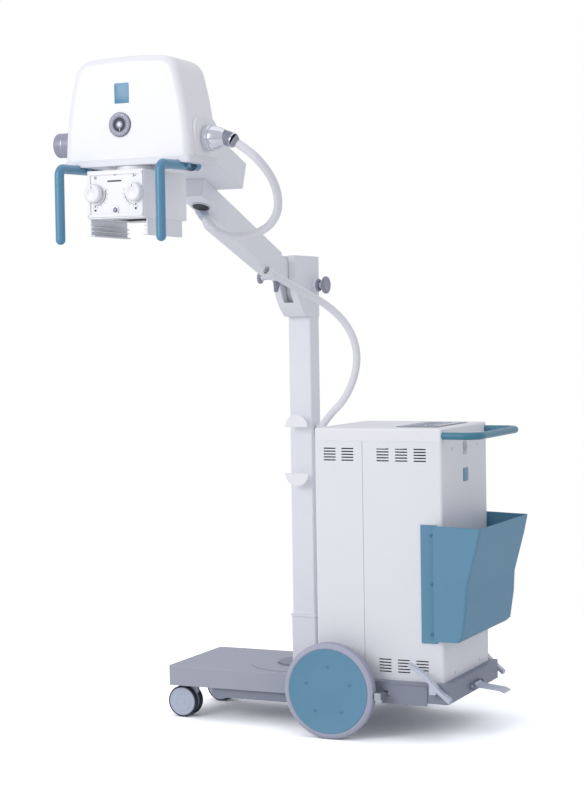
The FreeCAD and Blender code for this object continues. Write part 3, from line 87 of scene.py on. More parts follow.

# %% [markdown]
# ## The two hoses
# A high-voltage hose is as thick as a broom handle and does not like to bend, so it hangs in one wide
# curve. We draw it as a NURBS curve, whose points pull the line without lying on it: that gives a
# bend that grows and fades, as in real rubber. The curve is turned into a tube mesh; each hose
# joins two pieces that move.

# %% Hoses
hose_diameter = 0.025


def hose_line(name, points):
    """A smooth open curve, in metres, pulled by points in millimetres."""
    curve = bpy.data.curves.new(name, "CURVE")
    curve.dimensions = "3D"
    curve.resolution_u = 10
    spline = curve.splines.new("NURBS")
    spline.points.add(len(points) - 1)
    for knot, place in zip(spline.points, points):
        knot.co = (*[v / 1000 for v in place], 1)
    spline.order_u = 3
    spline.use_endpoint_u = True
    return bpy.data.objects.new(name, curve)


def make_hose(name, points):
    """A tube mesh along the curve."""
    line = hose_line(name + "_line", points)
    bpy.context.scene.collection.objects.link(line)
    centre = bpy.data.meshes.new_from_object(line)
    path = [v.co.copy() for v in centre.vertices]
    line.data.bevel_depth = hose_diameter / 2
    line.data.bevel_resolution = 6
    bpy.context.view_layer.update()
    tube = bpy.data.meshes.new_from_object(line)
    bpy.data.objects.remove(line)
    tube.shade_smooth()
    hose = bpy.data.objects.new(name, tube)
    bpy.context.scene.collection.objects.link(hose)
    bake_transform(hose)
    run = sum((b - a).length for a, b in zip(path, path[1:]))
    print(name, "is", round(run, 3), "m long")
    return hose


head_hose = make_hose("head_hose", (
    (93, -1130, 1893), (129, -1118, 1867), (153, -1088, 1832), (162, -1043, 1794),
    (153, -987, 1752), (125, -928, 1706), (70, -868, 1669), (-7, -812, 1648),
    (-86, -767, 1646), (-146, -745, 1653), (-191, -735, 1677), (-218, -732, 1709)))
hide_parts("hose_upper")

column_hose = make_hose("column_hose", (
    (-172, -340, 1541), (-146, -282, 1512), (-120, -226, 1486), (-79, -161, 1451),
    (-45, -127, 1417), (-13, -104, 1375), (11, -91, 1324), (20, -84, 1268), (12, -79, 1210),
    (-11, -73, 1155), (-46, -65, 1104), (-99, -47, 1062), (-150, -12, 1015)))
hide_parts("hose_lower")

# %% [markdown]
# ## Effects that several finishes share
# Painted steel, cast alloy and moulded shells differ in colour, but all of them are a little uneven
# and rubbed at their edges; the edges also get a painted highlight, and the corners painted shade.
# Each effect is built once as a node group with named sockets, and every finish then places it with
# its own values. A group gives out only colours, masks and normals, and the shader stays in the material.

# %% Helper for node groups


def new_group(name, inputs, outputs):
    """An empty shader group with named sockets; inputs give a default value."""
    group = bpy.data.node_groups.new(name, "ShaderNodeTree")
    for title, kind, value in inputs:
        socket = group.interface.new_socket(title, in_out="INPUT", socket_type=kind)
        socket.default_value = value
    for title, kind in outputs:
        group.interface.new_socket(title, in_out="OUTPUT", socket_type=kind)
    return group, group.nodes.new("NodeGroupInput"), group.nodes.new("NodeGroupOutput")


def add_node(tree, kind, **settings):
    """A node with its settings; a setting that is the name of an input fills that input."""
    node = tree.nodes.new(kind)
    for key, value in settings.items():
        if hasattr(node, key):
            setattr(node, key, value)
        else:
            node.inputs[key.replace("_", " ").title()].default_value = value
    return node


def calculate(tree, operation, first, second):
    """One step of arithmetic; either side is a number or a socket."""
    node = add_node(tree, "ShaderNodeMath", operation=operation)
    for socket, value in zip(node.inputs, (first, second)):
        if isinstance(value, (int, float)):
            socket.default_value = value
        else:
            tree.links.new(value, socket)
    return node.outputs[0]


# %% [markdown]
# ### Orange peel
# Sprayed and powder-coated surfaces dry with a faint ripple called orange peel, and large panels are
# never exactly one colour. Two layers of noise in object space do both: a fine one for the height,
# and a broad one that lightens and darkens the colour by a percent or two.

# %% Orange peel group
peel, peel_in, peel_out = new_group("orange_peel", (
    ("Color", "NodeSocketColor", (0.8, 0.8, 0.8, 1)), ("Size", "NodeSocketFloat", 400.0),
    ("Clouds", "NodeSocketFloat", 0.03), ("Roughness", "NodeSocketFloat", 0.4)),
    (("Color", "NodeSocketColor"), ("Roughness", "NodeSocketFloat"), ("Height", "NodeSocketFloat")))
places = peel.nodes.new("ShaderNodeTexCoord")
ripple = add_node(peel, "ShaderNodeTexNoise", detail=2.0)
peel.links.new(places.outputs["Object"], ripple.inputs["Vector"])
peel.links.new(peel_in.outputs["Size"], ripple.inputs["Scale"])
clouds = add_node(peel, "ShaderNodeTexNoise", scale=5.0, detail=3.0)
peel.links.new(places.outputs["Object"], clouds.inputs["Vector"])
swing = calculate(peel, "SUBTRACT", clouds.outputs[0], 0.5)
swing = calculate(peel, "MULTIPLY", swing, peel_in.outputs["Clouds"])
tone = calculate(peel, "ADD", 1.0, swing)
shade = add_node(peel, "ShaderNodeHueSaturation")
peel.links.new(peel_in.outputs["Color"], shade.inputs["Color"])
peel.links.new(tone, shade.inputs["Value"])
peel.links.new(shade.outputs[0], peel_out.inputs["Color"])
rough = calculate(peel, "MULTIPLY", tone, peel_in.outputs["Roughness"])
peel.links.new(rough, peel_out.inputs["Roughness"])
peel.links.new(ripple.outputs[0], peel_out.inputs["Height"])
print("orange peel has", len(peel.nodes), "nodes")

# %% [markdown]
# ### Rounded and rubbed edges, with a painted highlight
# No real edge is sharp, and paint wears first where hands and shoes rub. The Bevel node gives the
# normal that a small rounding would have. Where that normal differs from the true one there is an
# edge, so the same node also gives a mask. It lightens the colour along every edge: partly rubbed
# paint, partly a painted highlight.

# %% Edge group
edges, edges_in, edges_out = new_group("edges_wear_and_highlight", (
    ("Radius", "NodeSocketFloat", 0.0015), ("Wear And Highlight", "NodeSocketFloat", 0.3)),
    (("Mask", "NodeSocketFloat"), ("Normal", "NodeSocketVector")))
soft = add_node(edges, "ShaderNodeBevel", samples=4)
edges.links.new(edges_in.outputs["Radius"], soft.inputs["Radius"])
true = edges.nodes.new("ShaderNodeNewGeometry")
compare = add_node(edges, "ShaderNodeVectorMath", operation="DOT_PRODUCT")
edges.links.new(soft.outputs[0], compare.inputs[0])
edges.links.new(true.outputs["Normal"], compare.inputs[1])
bend = calculate(edges, "SUBTRACT", 1.0, compare.outputs["Value"])
bend = calculate(edges, "MULTIPLY", bend, 6.0)
speckle = add_node(edges, "ShaderNodeTexNoise", scale=140.0, detail=4.0)
wear_and_highlight_mask = calculate(edges, "MULTIPLY", bend, speckle.outputs[0])
wear_and_highlight_mask = calculate(edges, "MULTIPLY", wear_and_highlight_mask, edges_in.outputs["Wear And Highlight"])
wear_and_highlight_mask = calculate(edges, "MINIMUM", wear_and_highlight_mask, 1.0)
edges.links.new(wear_and_highlight_mask, edges_out.inputs["Mask"])
edges.links.new(soft.outputs[0], edges_out.inputs["Normal"])
print("edge group made")

# %% [markdown]
# ### Painted shade in the corners
# Corners and creases are painted darker, as painted shade. Ambient occlusion asks how much of the
# sky a point sees: little in a corner, all of it on an open panel.

# %% Corner shade group
corner_shade, corner_shade_in, corner_shade_out = new_group("painted_corner_shade", (
    ("Reach", "NodeSocketFloat", 0.012), ("Amount", "NodeSocketFloat", 0.5)),
    (("Mask", "NodeSocketFloat"),))
sky = add_node(corner_shade, "ShaderNodeAmbientOcclusion", samples=4)
corner_shade.links.new(corner_shade_in.outputs["Reach"], sky.inputs["Distance"])
corner_shade_mask = calculate(corner_shade, "SUBTRACT", 1.0, sky.outputs["AO"])
corner_shade_mask = calculate(corner_shade, "POWER", corner_shade_mask, 1.6)
corner_shade_mask = calculate(corner_shade, "MULTIPLY", corner_shade_mask, corner_shade_in.outputs["Amount"])
corner_shade.links.new(corner_shade_mask, corner_shade_out.inputs["Mask"])
print("dust group made")

# %% [markdown]
# ## The finishes
# Every finish below is one Principled shader with the three groups in front of it. Only what differs
# is passed in: colour, gloss, how coarse the ripple is, how bright a rubbed, highlighted edge turns,
# how dark the painted corner shade is. Colours are written as on a paint card and turned to linear
# light by one function.

# %% Finish builder


def paint_card(red, green, blue):
    """A colour from 0 to 255 as linear light."""
    def light(v):
        v /= 255
        return v / 12.92 if v <= 0.04045 else ((v + 0.055) / 1.055) ** 2.4
    return (light(red), light(green), light(blue), 1)


def mix_color(tree, share, first, second):
    """Blend from first to second by a mask."""
    node = add_node(tree, "ShaderNodeMix", data_type="RGBA")
    tree.links.new(share, node.inputs["Factor"])
    for socket, value in ((node.inputs[6], first), (node.inputs[7], second)):
        if isinstance(value, tuple):
            socket.default_value = value
        else:
            tree.links.new(value, socket)
    return node.outputs[2]


def finish(name, color, roughness, grain=400.0, depth=0.02, clouds=0.03, wear_and_highlight=0.25,
           edge_color=None, corner_shade_amount=0.25, metallic=0.0, coat=0.0, radius=0.0015, specular=0.5):
    """A finish with ripple, rubbed and highlighted edges and painted corner shade, around one Principled
    shader.
    """
    material = bpy.data.materials.new(name)
    material.use_nodes = True
    tree = material.node_tree
    shader = tree.nodes["Principled BSDF"]
    shader.inputs["Metallic"].default_value = metallic
    shader.inputs["Coat Weight"].default_value = coat
    shader.inputs["Coat Roughness"].default_value = 0.15
    shader.inputs["Specular IOR Level"].default_value = specular
    skin = add_node(tree, "ShaderNodeGroup", node_tree=peel)
    skin.inputs["Color"].default_value = color
    skin.inputs["Size"].default_value = grain
    skin.inputs["Clouds"].default_value = clouds
    skin.inputs["Roughness"].default_value = roughness
    rim = add_node(tree, "ShaderNodeGroup", node_tree=edges)
    rim.inputs["Radius"].default_value = radius
    rim.inputs["Wear And Highlight"].default_value = wear_and_highlight
    corner = add_node(tree, "ShaderNodeGroup", node_tree=corner_shade)
    corner.inputs["Amount"].default_value = corner_shade_amount
    # Painted highlight: every edge is lightened toward a brighter colour, partly as rubbed paint.
    bright = edge_color or tuple(min(1.0, v * 1.25 + 0.03) for v in color[:3]) + (1,)
    # Painted shade: corners are darkened to 55 percent of the colour.
    corner_shade_color = tuple(v * 0.55 for v in color[:3]) + (1,)
    tint = mix_color(tree, rim.outputs["Mask"], skin.outputs["Color"], bright)
    tint = mix_color(tree, corner.outputs["Mask"], tint, corner_shade_color)
    tree.links.new(tint, shader.inputs["Base Color"])
    tree.links.new(skin.outputs["Roughness"], shader.inputs["Roughness"])
    bump = add_node(tree, "ShaderNodeBump", strength=depth, distance=0.001)
    tree.links.new(skin.outputs["Height"], bump.inputs["Height"])
    tree.links.new(rim.outputs["Normal"], bump.inputs["Normal"])
    tree.links.new(bump.outputs[0], shader.inputs["Normal"])
    return material


# %% [markdown]
# ### Paints and shells
# The cabinet is powder-coated steel, the head and the lid are moulded shells, the column and the arm
# are painted alloy. All are white, but they are not the same white: the shells are smoother and a
# little warmer. The teal pieces are painted too, apart from the pocket, which is a moulded shell.

# %% Paints and shells
looks = {
    "white_paint": finish("white_powder_coat", paint_card(238, 239, 243), 0.42, grain=700, depth=0.05,
                          wear_and_highlight=0.1, corner_shade_amount=0.35),
    "white_shell": finish("white_moulded_shell", paint_card(243, 243, 246), 0.34, grain=250, depth=0.02,
                          wear_and_highlight=0.1, coat=0.15),
    "white_alloy": finish("white_painted_alloy", paint_card(234, 235, 241), 0.38, grain=600, depth=0.04,
                          wear_and_highlight=0.12, corner_shade_amount=0.35),
    "teal_shell": finish("teal_moulded_shell", paint_card(104, 151, 178), 0.46, grain=500, depth=0.05,
                         clouds=0.08, wear_and_highlight=0.3, specular=0.3),
    "teal_tube": finish("teal_powder_coat", paint_card(62, 128, 152), 0.33, grain=700, depth=0.05,
                        clouds=0.06, wear_and_highlight=0.5, coat=0.2),
    "teal_grip": finish("teal_grip_paint", paint_card(84, 142, 174), 0.3, grain=700, depth=0.05,
                        clouds=0.06, wear_and_highlight=0.4, coat=0.3),
    "grey_casting": finish("grey_cast_alloy", paint_card(170, 173, 186), 0.5, grain=900, depth=0.12,
                           clouds=0.05, wear_and_highlight=0.35, corner_shade_amount=0.5),
    "grey_paint": finish("grey_powder_coat", paint_card(141, 147, 162), 0.48, grain=700, depth=0.06,
                         clouds=0.06, wear_and_highlight=0.35, corner_shade_amount=0.5),
    "tank_paint": finish("tank_paint", paint_card(150, 155, 160), 0.5, grain=600, depth=0.06),
}
print(len(looks), "paints and shells")

# %% [markdown]
# ### Plastics and rubber
# Moulded plastic has a fine leather-like grain from its tool, and rubber is duller still. The hoses
# wear a smooth sheath that shines a little.

# %% Plastics and rubber
looks.update({
    "grey_plastic": finish("grey_moulded_plastic", paint_card(152, 152, 170), 0.36, grain=900, depth=0.12,
                           wear_and_highlight=0.4, coat=0.2),
    "caster_plastic": finish("caster_plastic", paint_card(190, 199, 216), 0.4, grain=900, depth=0.1,
                             wear_and_highlight=0.2),
    "dark_plastic": finish("dark_plastic", paint_card(34, 35, 42), 0.42, grain=900, depth=0.12, wear_and_highlight=0.2),
    "panel_plastic": finish("key_panel_film", paint_card(120, 128, 142), 0.3, grain=1200, depth=0.03,
                            coat=0.4, wear_and_highlight=0.1),
    "tyre_rubber": finish("grey_tyre_rubber", paint_card(178, 180, 197), 0.66, grain=1300, depth=0.2,
                          clouds=0.08, wear_and_highlight=0.1, corner_shade_amount=0.6, specular=0.3),
    "hose_sheath": finish("hose_sheath", paint_card(232, 232, 237), 0.36, grain=1500, depth=0.06,
                          clouds=0.05, wear_and_highlight=0.0, coat=0.15),
    "board": finish("circuit_board", paint_card(46, 98, 66), 0.4, grain=900, depth=0.1),
})
dark_tread = finish("dark_tread_rubber", paint_card(66, 68, 86), 0.6, grain=1300, depth=0.2, specular=0.3)
buffer_rubber = finish("buffer_rubber", paint_card(150, 152, 170), 0.55, grain=900, depth=0.1)
print(len(looks), "finishes so far")

# %% [markdown]
# ### Metals
# Bare metal has almost no colour of its own: it shows the room, blurred by its roughness. Chrome is
# nearly a mirror, turned alloy is softer, and cast iron is rough and dark.

# %% Metals
looks.update({
    "bright_metal": finish("bright_chrome", paint_card(226, 228, 236), 0.16, grain=500, depth=0.01,
                           clouds=0.1, metallic=1.0, wear_and_highlight=0.0, radius=0.0008),
    "steel": finish("brushed_steel", paint_card(196, 198, 204), 0.3, grain=1500, depth=0.08,
                    clouds=0.15, metallic=1.0, wear_and_highlight=0.2),
    "light_alloy": finish("turned_alloy", paint_card(206, 208, 214), 0.34, grain=1500, depth=0.06,
                          clouds=0.1, metallic=1.0, wear_and_highlight=0.2),
    "pedal_metal": finish("cast_pedal_alloy", paint_card(205, 210, 224), 0.42, grain=900, depth=0.15,
                          clouds=0.15, metallic=0.35, wear_and_highlight=0.5),
    "iron": finish("cast_iron", paint_card(92, 92, 96), 0.7, grain=500, depth=0.4, clouds=0.3),
    "lead_alloy": finish("lead_sheet", paint_card(138, 141, 148), 0.5, grain=700, depth=0.2,
                         clouds=0.2, metallic=0.8),
})
ink_and_painted_shade = finish("printed_ink_and_painted_shade", paint_card(58, 60, 78), 0.5, grain=900, depth=0.0, wear_and_highlight=0.0)
glass_dark = finish("display_glass", paint_card(26, 34, 40), 0.08, grain=900, depth=0.0, wear_and_highlight=0.0, coat=1.0)
print(len(looks), "finishes in all")

# %% [markdown]
# ## Dress the CAD nodes
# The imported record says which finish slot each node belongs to, so one loop gives every solid its
# material. Solids that keep their CAD shape only need this.

# %% Materials on the nodes
node_slots = {part["node"]: part["material_slot"] for part in frame["record"]["subparts"]}
for node, obj in frame["nodes"].items():
    obj.data.materials.clear()
    obj.data.materials.append(looks[node_slots[node]])
for hose in (head_hose, column_hose):
    hose.data.materials.clear()
    hose.data.materials.append(looks["hose_sheath"])
print(len(node_slots), "nodes dressed")

# %% [markdown]
# ## Tools for turned and flat pieces
# Most small parts of a machine come off a lathe or out of a sheet. The lathe helper turns a list of
# radius and height pairs about an axis. A ring may be hexagonal or knurled, which is how a nut, a
# socket or a knob's rim gets its shape. The sheet helper gives an outline its thickness and a small
# bevel. All sizes are in millimetres here and become metres when the mesh is made.

# %% Lathe and sheet tools


def axes_for(direction):
    """Two directions square to a given one."""
    along = Vector(direction).normalized()
    side = along.orthogonal().normalized()
    if abs(along.z) < 0.9:
        side = Vector((0, 0, 1)).cross(along).normalized()
    return along, side, along.cross(side)


def hexagon(angle):
    """How far a hexagon's flat lies inside its corner circle."""
    return cos(pi / 6) / cos((angle % (pi / 3)) - pi / 6)


def knurl(teeth, depth):
    """A rim with teeth, as a factor on the radius."""
    def at(angle):
        return 1 - depth * (0.5 - 0.5 * cos(teeth * angle))
    return at


def turn_on_lathe(bm, profile, centre, direction, steps=48):
    """Revolve (radius, height) or (radius, height, shape) about an axis through centre."""
    along, side, other = axes_for(direction)
    rings = []
    for radius, height, *shape in profile:
        middle = Vector(centre) + along * height
        if radius == 0:
            rings.append([bm.verts.new(middle)])
            continue
        ring = []
        for k in range(steps):
            angle = 2 * pi * k / steps
            reach = radius * (shape[0](angle) if shape else 1)
            ring.append(bm.verts.new(middle + (side * cos(angle) + other * sin(angle)) * reach))
        rings.append(ring)
    for lower, upper in zip(rings, rings[1:]):
        for k in range(steps):
            n = (k + 1) % steps
            corners = [lower[k % len(lower)], lower[n % len(lower)],
                       upper[n % len(upper)], upper[k % len(upper)]]
            unique = list(dict.fromkeys(corners))
            if len(unique) > 2:
                bm.faces.new(unique)


def cut_sheet(bm, outline, start, thickness, across, upward, bevel=0.0):
    """Give an outline of (a, b) pairs a thickness; across and upward are its two directions."""
    across = Vector(across)
    upward = Vector(upward)
    normal = across.cross(upward).normalized()
    base = [Vector(start) + across * a + upward * b for a, b in outline]
    front = [bm.verts.new(p) for p in base]
    back = [bm.verts.new(p + normal * thickness) for p in base]
    count = len(outline)
    made = [bm.faces.new(list(reversed(front))), bm.faces.new(back)]
    for k in range(count):
        n = (k + 1) % count
        made.append(bm.faces.new((front[k], front[n], back[n], back[k])))
    if bevel:
        rims = {e for face in made[:2] for e in face.edges}
        bmesh.ops.bevel(bm, geom=list(rims), offset=bevel, segments=3, affect="EDGES", profile=0.6)


def rounded_outline(width, height, corner, steps=5):
    """A rectangle about the origin with rounded corners."""
    points = []
    for k, (sx, sy) in enumerate(((1, 1), (-1, 1), (-1, -1), (1, -1))):
        cx = sx * (width / 2 - corner)
        cy = sy * (height / 2 - corner)
        for step in range(steps + 1):
            angle = pi / 2 * (k + step / steps)
            points.append((cx + corner * cos(angle), cy + corner * sin(angle)))
    return points


def add_piece(name, bm, body, material, sharp=32):
    """Finish a mesh: outward normals, smooth faces with sharp edges, a finish and a body to ride."""
    bmesh.ops.recalc_face_normals(bm, faces=bm.faces)
    bmesh.ops.scale(bm, vec=(0.001, 0.001, 0.001), verts=bm.verts)
    mesh = bpy.data.meshes.new(name)
    bm.to_mesh(mesh)
    bm.free()
    mesh.shade_smooth()
    mesh.set_sharp_from_angle(angle=radians(sharp))
    mesh.materials.append(material)
    piece = bpy.data.objects.new(name, mesh)
    bpy.context.scene.collection.objects.link(piece)
    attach(piece, body)
    return piece


def socket_screw(bm, place, direction, radius, height):
    """A button-head screw with a hexagon socket."""
    turn_on_lathe(bm, (
        (radius, 0), (radius, height * 0.35), (radius * 0.86, height * 0.78), (radius * 0.6, height),
        (radius * 0.5, height, hexagon), (radius * 0.48, height * 0.3, hexagon), (0, height * 0.2)),
        place, direction, steps=24)


print("lathe and sheet tools ready")

# %% [markdown]
# ## The big wheels
# Each wheel is a grey rubber tyre on a plastic hub, closed by a painted disc with five screws. A real
# tyre has a flat tread with fine grooves and a soft step where the sidewall starts, so its section is
# drawn as a profile and turned. The disc is pressed: it is a little sunk behind a rounded bead.

# %% Wheels
wheel_centre_z = 160.0
tyre_inner = 141.0


def tyre_profile():
    """Section of the tyre from its inner bead over the tread to the outer bead."""
    section = [(tyre_inner, -42), (tyre_inner + 5, -42), (152, -40.5), (157.5, -37)]
    for groove in (-30, -21, -12):
        section += [(160, groove - 1.6), (158.4, groove - 1.1), (158.4, groove + 1.1), (160, groove + 1.6)]
    section += [(157.5, -5), (152, -1.5), (147, 0), (143.5, 0), (142.4, -1.2), (tyre_inner, -1.4)]
    return section + [section[0]]


def dress_wheel(side, name):
    outward = (0, side, 0)
    face = (0, side * 333, wheel_centre_z)
    bm = bmesh.new()
    turn_on_lathe(bm, tyre_profile(), face, outward, steps=120)
    tyre = add_piece(name + "_rubber", bm, name, looks["tyre_rubber"])
    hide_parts(name + "_tyre")
    bm = bmesh.new()
    turn_on_lathe(bm, ((0, -4), (140.8, -4), (140.8, -1.2), (139.6, -0.3), (137.8, -0.2),
                       (136.2, -1.0), (60, -1.6), (0, -1.6)), face, outward, steps=120)
    disc = add_piece(name + "_cover", bm, name, looks["teal_shell"])
    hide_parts(name + "_disc")
    bm = bmesh.new()
    for k in range(5):
        angle = pi / 2 + 2 * pi * k / 5
        place = (81 * cos(angle), side * 331.2, wheel_centre_z + 81 * sin(angle))
        socket_screw(bm, place, outward, 5.6, 2.6)
    add_piece(name + "_screws", bm, name, looks["teal_shell"])


for wheel_side, wheel_name in ((-1, "wheel_left"), (1, "wheel_right")):
    dress_wheel(wheel_side, wheel_name)
print("wheels dressed")

# %% [markdown]
# ## The casters
# A hospital caster has two wheels with a soft dark tread and a pale cover that hides the bearing.
# The cover is dished in rings, which catch the light as thin circles.

# %% Casters
caster_axle = (-627, 55)


def dress_caster(side, name):
    treads = bmesh.new()
    covers = bmesh.new()
    for inner in (-1, 1):
        face = (caster_axle[0], side * 149 + inner * 30, caster_axle[1])
        outward = (0, inner, 0)
        turn_on_lathe(treads, ((49, -22), (53, -21.5), (55, -17), (55, -5), (53, -0.8), (50, -0.2),
                               (49.2, -1.5), (49, -22)), face, outward, steps=72)
        turn_on_lathe(covers, ((5.2, -22), (49, -22), (49.2, -1.6), (47.5, -0.3), (44, -0.3),
                               (42.5, -1.6), (34, -2.0), (32.5, -0.9), (24, -0.9), (22.6, -2.2),
                               (10, -2.2), (8.5, -0.8), (0, -0.6)), face, outward, steps=72)
    tread = add_piece(name + "_treads", treads, name + "_pair", dark_tread)
    add_piece(name + "_covers", covers, name + "_pair", looks["caster_plastic"])
    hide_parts(name + "_wheels")


for caster_side, caster_name in ((-1, "caster_left"), (1, "caster_right")):
    dress_caster(caster_side, caster_name)
print("casters dressed")

# %% [markdown]
# ## The tilt scale on the head
# The round scale on the front of the head shows how far the tube is tilted. A grey flange carries
# pale marks and two tiny screws. Inside it is a sunk dark ring, and in the middle a grey boss with
# a pale cap, on which a weighted pointer hangs.

# %% Tilt scale
dial_place = Vector((-232, -1230, 1955))
towards_viewer = (0, -1, 0)

bm = bmesh.new()
turn_on_lathe(bm, ((34.8, 0), (34.8, 3.4), (33.8, 4.8), (31, 5.6), (22, 5.6), (20.5, 4.8), (20, 2.2)),
              dial_place, towards_viewer, steps=96)
turn_on_lathe(bm, ((11, 1.6), (11, 4.2), (9.6, 5.2), (6.2, 5.4), (5.8, 4.8)),
              dial_place, towards_viewer, steps=48)
dial_flange = add_piece("dial_flange", bm, "head", looks["grey_plastic"])
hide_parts("head_dial")

bm = bmesh.new()
turn_on_lathe(bm, ((35.4, 0), (35.4, 2.6), (34.7, 2.8), (34.7, 0)), dial_place, towards_viewer, steps=96)
turn_on_lathe(bm, ((20.3, 1.6), (20.3, 2.2), (10.8, 2.2), (10.8, 1.6)), dial_place, towards_viewer, steps=72)
add_piece("dial_recess", bm, "head", ink_and_painted_shade)

bm = bmesh.new()
for k in range(24):
    angle = 2 * pi * k / 24
    long = 5.5 if k % 3 == 0 else 3.2
    spoke = Vector((cos(angle), 0, sin(angle)))
    across = Vector((sin(angle), 0, -cos(angle)))
    start = dial_place + Vector((0, -5.5, 0)) + spoke * (30.5 - long)
    cut_sheet(bm, ((-0.5, 0), (0.5, 0), (0.5, long), (-0.5, long)), start, 0.3, across, spoke)
turn_on_lathe(bm, ((6.2, 4), (6.0, 5.2), (4.5, 5.8), (0, 6)), dial_place, towards_viewer, steps=36)
cut_sheet(bm, ((-1.4, -10), (1.4, -10), (0.5, -19), (-0.5, -19)), dial_place + Vector((0, -3, 0)), 0.6,
          (1, 0, 0), (0, 0, 1))
for screw_side in (-1, 1):
    socket_screw(bm, dial_place + Vector((screw_side * 9, -5.4, 26)), towards_viewer, 1.9, 0.6)
add_piece("dial_marks", bm, "head", looks["white_shell"])
print("tilt scale made")

# %% [markdown]
# ## Two bare plates
# A small teal plate sits above the scale, and another on the back of the cabinet. They carry
# nothing here, so they are made as blank anodised plates with rounded corners and a fine bevel.

# %% Bare plates
bm = bmesh.new()
cut_sheet(bm, rounded_outline(47, 58, 2.5), (-225, -1229.9, 2045), 0.9, (1, 0, 0), (0, 0, 1), bevel=0.35)
add_piece("head_plate", bm, "head", looks["teal_grip"])
bm = bmesh.new()
cut_sheet(bm, rounded_outline(50, 45, 2.5), (370.9, 6, 860), 1.1, (0, 1, 0), (0, 0, 1), bevel=0.35)
add_piece("cabinet_plate", bm, "base", looks["teal_grip"])
print("two plates made")

# %% [markdown]
# ## The hose elbow on the head
# The upper hose leaves the head through a metal elbow: a thick flange ring with two screws, a
# polished cone, a dark ribbed sleeve and a tapered nut that grips the sheath. Each is a turned
# piece. The cone points straight out of the head, and the sleeve bends towards the hose.

# %% Hose elbow
elbow_root = Vector((-5, -1130, 1911))
hose_start = Vector((93, -1130, 1893))
hose_next = Vector((129, -1118, 1867))
hose_way = (hose_next - hose_start).normalized()
sleeve_start = elbow_root + Vector((62, 0, -1))
sleeve_end = hose_start - hose_way * 13
sleeve_way = sleeve_end - sleeve_start
reach = sleeve_way.length

bm = bmesh.new()
turn_on_lathe(bm, ((36, 0), (38, 1), (38, 15.5), (36.8, 17), (34, 17.2), (34, 16)),
              elbow_root, (1, 0, 0), steps=72)
turn_on_lathe(bm, ((34.5, 16), (35.6, 20), (35.2, 26), (33, 36), (29, 48), (24.5, 58), (22.4, 62), (20, 63)),
              elbow_root, (1, 0, 0), steps=72)
turn_on_lathe(bm, ((18, reach - 2), (21.2, reach - 2), (21.6, reach), (21.2, reach + 2), (17, reach + 2)),
              sleeve_start, sleeve_way, steps=72)
for end in (-1, 1):
    socket_screw(bm, elbow_root + Vector((16.8, 0, end * 35.4)), (1, 0, 0), 3.4, 2.6)
elbow = add_piece("elbow_cone", bm, "head", looks["bright_metal"])
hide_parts("hose_elbow")

bm = bmesh.new()
ribs = [(19.6, -2)]
fine_rim = knurl(28, 0.03)
for k in range(6):
    at = reach * (k + 0.2) / 6.4
    ribs += [(19.8, at), (21.4, at + 0.5, fine_rim), (21.4, at + 2.6, fine_rim), (19.8, at + 3.1)]
turn_on_lathe(bm, ribs, sleeve_start, sleeve_way, steps=112)
turn_on_lathe(bm, ((20.4, -13), (20.2, -11), (18.6, -9), (15.4, -3), (13.6, -0.5), (12.6, 0)),
              hose_start, hose_way, steps=72)
add_piece("elbow_sleeve", bm, "head", looks["grey_plastic"])
print("elbow made")

# %% [markdown]
# ## Knobs of the arm
# The clamp knob at the pivot and the small locking knob at the arm's root are turned pieces with a
# knurled rim, so that a gloved hand can grip them. A shiny neck sits between the knob and the fork.

# %% Clamp knobs
bm = bmesh.new()
turn_on_lathe(bm, ((7.2, 0.4), (20, 0.4), (20, 5), (18.5, 6), (13.5, 6.5), (13, 9), (13, 18),
                   (15, 22), (15, 23.4), (7.2, 23.4)), (-160, 0, 1508), (1, 0, 0), steps=64)
add_piece("clamp_neck", bm, "arm_clamp", looks["bright_metal"])
bm = bmesh.new()
rim = knurl(20, 0.07)
turn_on_lathe(bm, ((12, 23.4), (26, 24.2), (29, 26, rim), (30, 28.5, rim), (30, 34.5, rim), (29, 36.5, rim),
                   (26, 38), (18, 38.2), (15, 37.2), (0, 37)), (-160, 0, 1508), (1, 0, 0), steps=160)
turn_on_lathe(bm, ((17, 0.4), (21.5, 1), (22.5, 3, rim), (22.5, 6, rim), (21, 8), (16, 8.4)),
              (-160, 0, 1508), (1, 0, 0), steps=160)
clamp = add_piece("clamp_knob", bm, "arm_clamp", looks["grey_plastic"])
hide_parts("pivot_knob")

lock_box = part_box("side_knob")
lock_y = (lock_box[0].y + lock_box[1].y) * 500
lock_z = (lock_box[0].z + lock_box[1].z) * 500
lock_face = lock_box[1].x * 1000
bm = bmesh.new()
turn_on_lathe(bm, ((0, 0), (9, 0), (9, 12), (7, 14), (7, 34), (9, 38), (11, 44), (11, 46)),
              (lock_face, lock_y, lock_z), (-1, 0, 0), steps=48)
add_piece("lock_shaft", bm, "arm_lock", looks["bright_metal"])
bm = bmesh.new()
small_rim = knurl(14, 0.08)
turn_on_lathe(bm, ((10, 46), (17, 46.5), (19.6, 48.5, small_rim), (19.8, 50, small_rim),
                   (19.8, 55, small_rim), (18.5, 57, small_rim), (15, 58), (8, 58), (6, 57.4), (0, 57.3)),
              (lock_face, lock_y, lock_z), (-1, 0, 0), steps=112)
lock = add_piece("lock_knob", bm, "arm_lock", looks["grey_plastic"])
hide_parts("side_knob")
print("knobs made, the lock knob is at", round(lock_y), round(lock_z))

# %% [markdown]
# ## Fittings of the arm
# Near its end the arm has a round cap underneath, a gland where the upper hose goes in, and at its
# root a side outlet for the lower hose and a ribbed rubber buffer. The arm rises at 20 degrees, so a
# small function turns places along the level arm into places in the room.

# %% Arm fittings
arm_rise = radians(20)


def on_arm(x, along, above):
    """A point along and above the arm, in millimetres."""
    return Vector((x, -along * cos(arm_rise) + above * sin(arm_rise),
                   1508 + along * sin(arm_rise) + above * cos(arm_rise)))


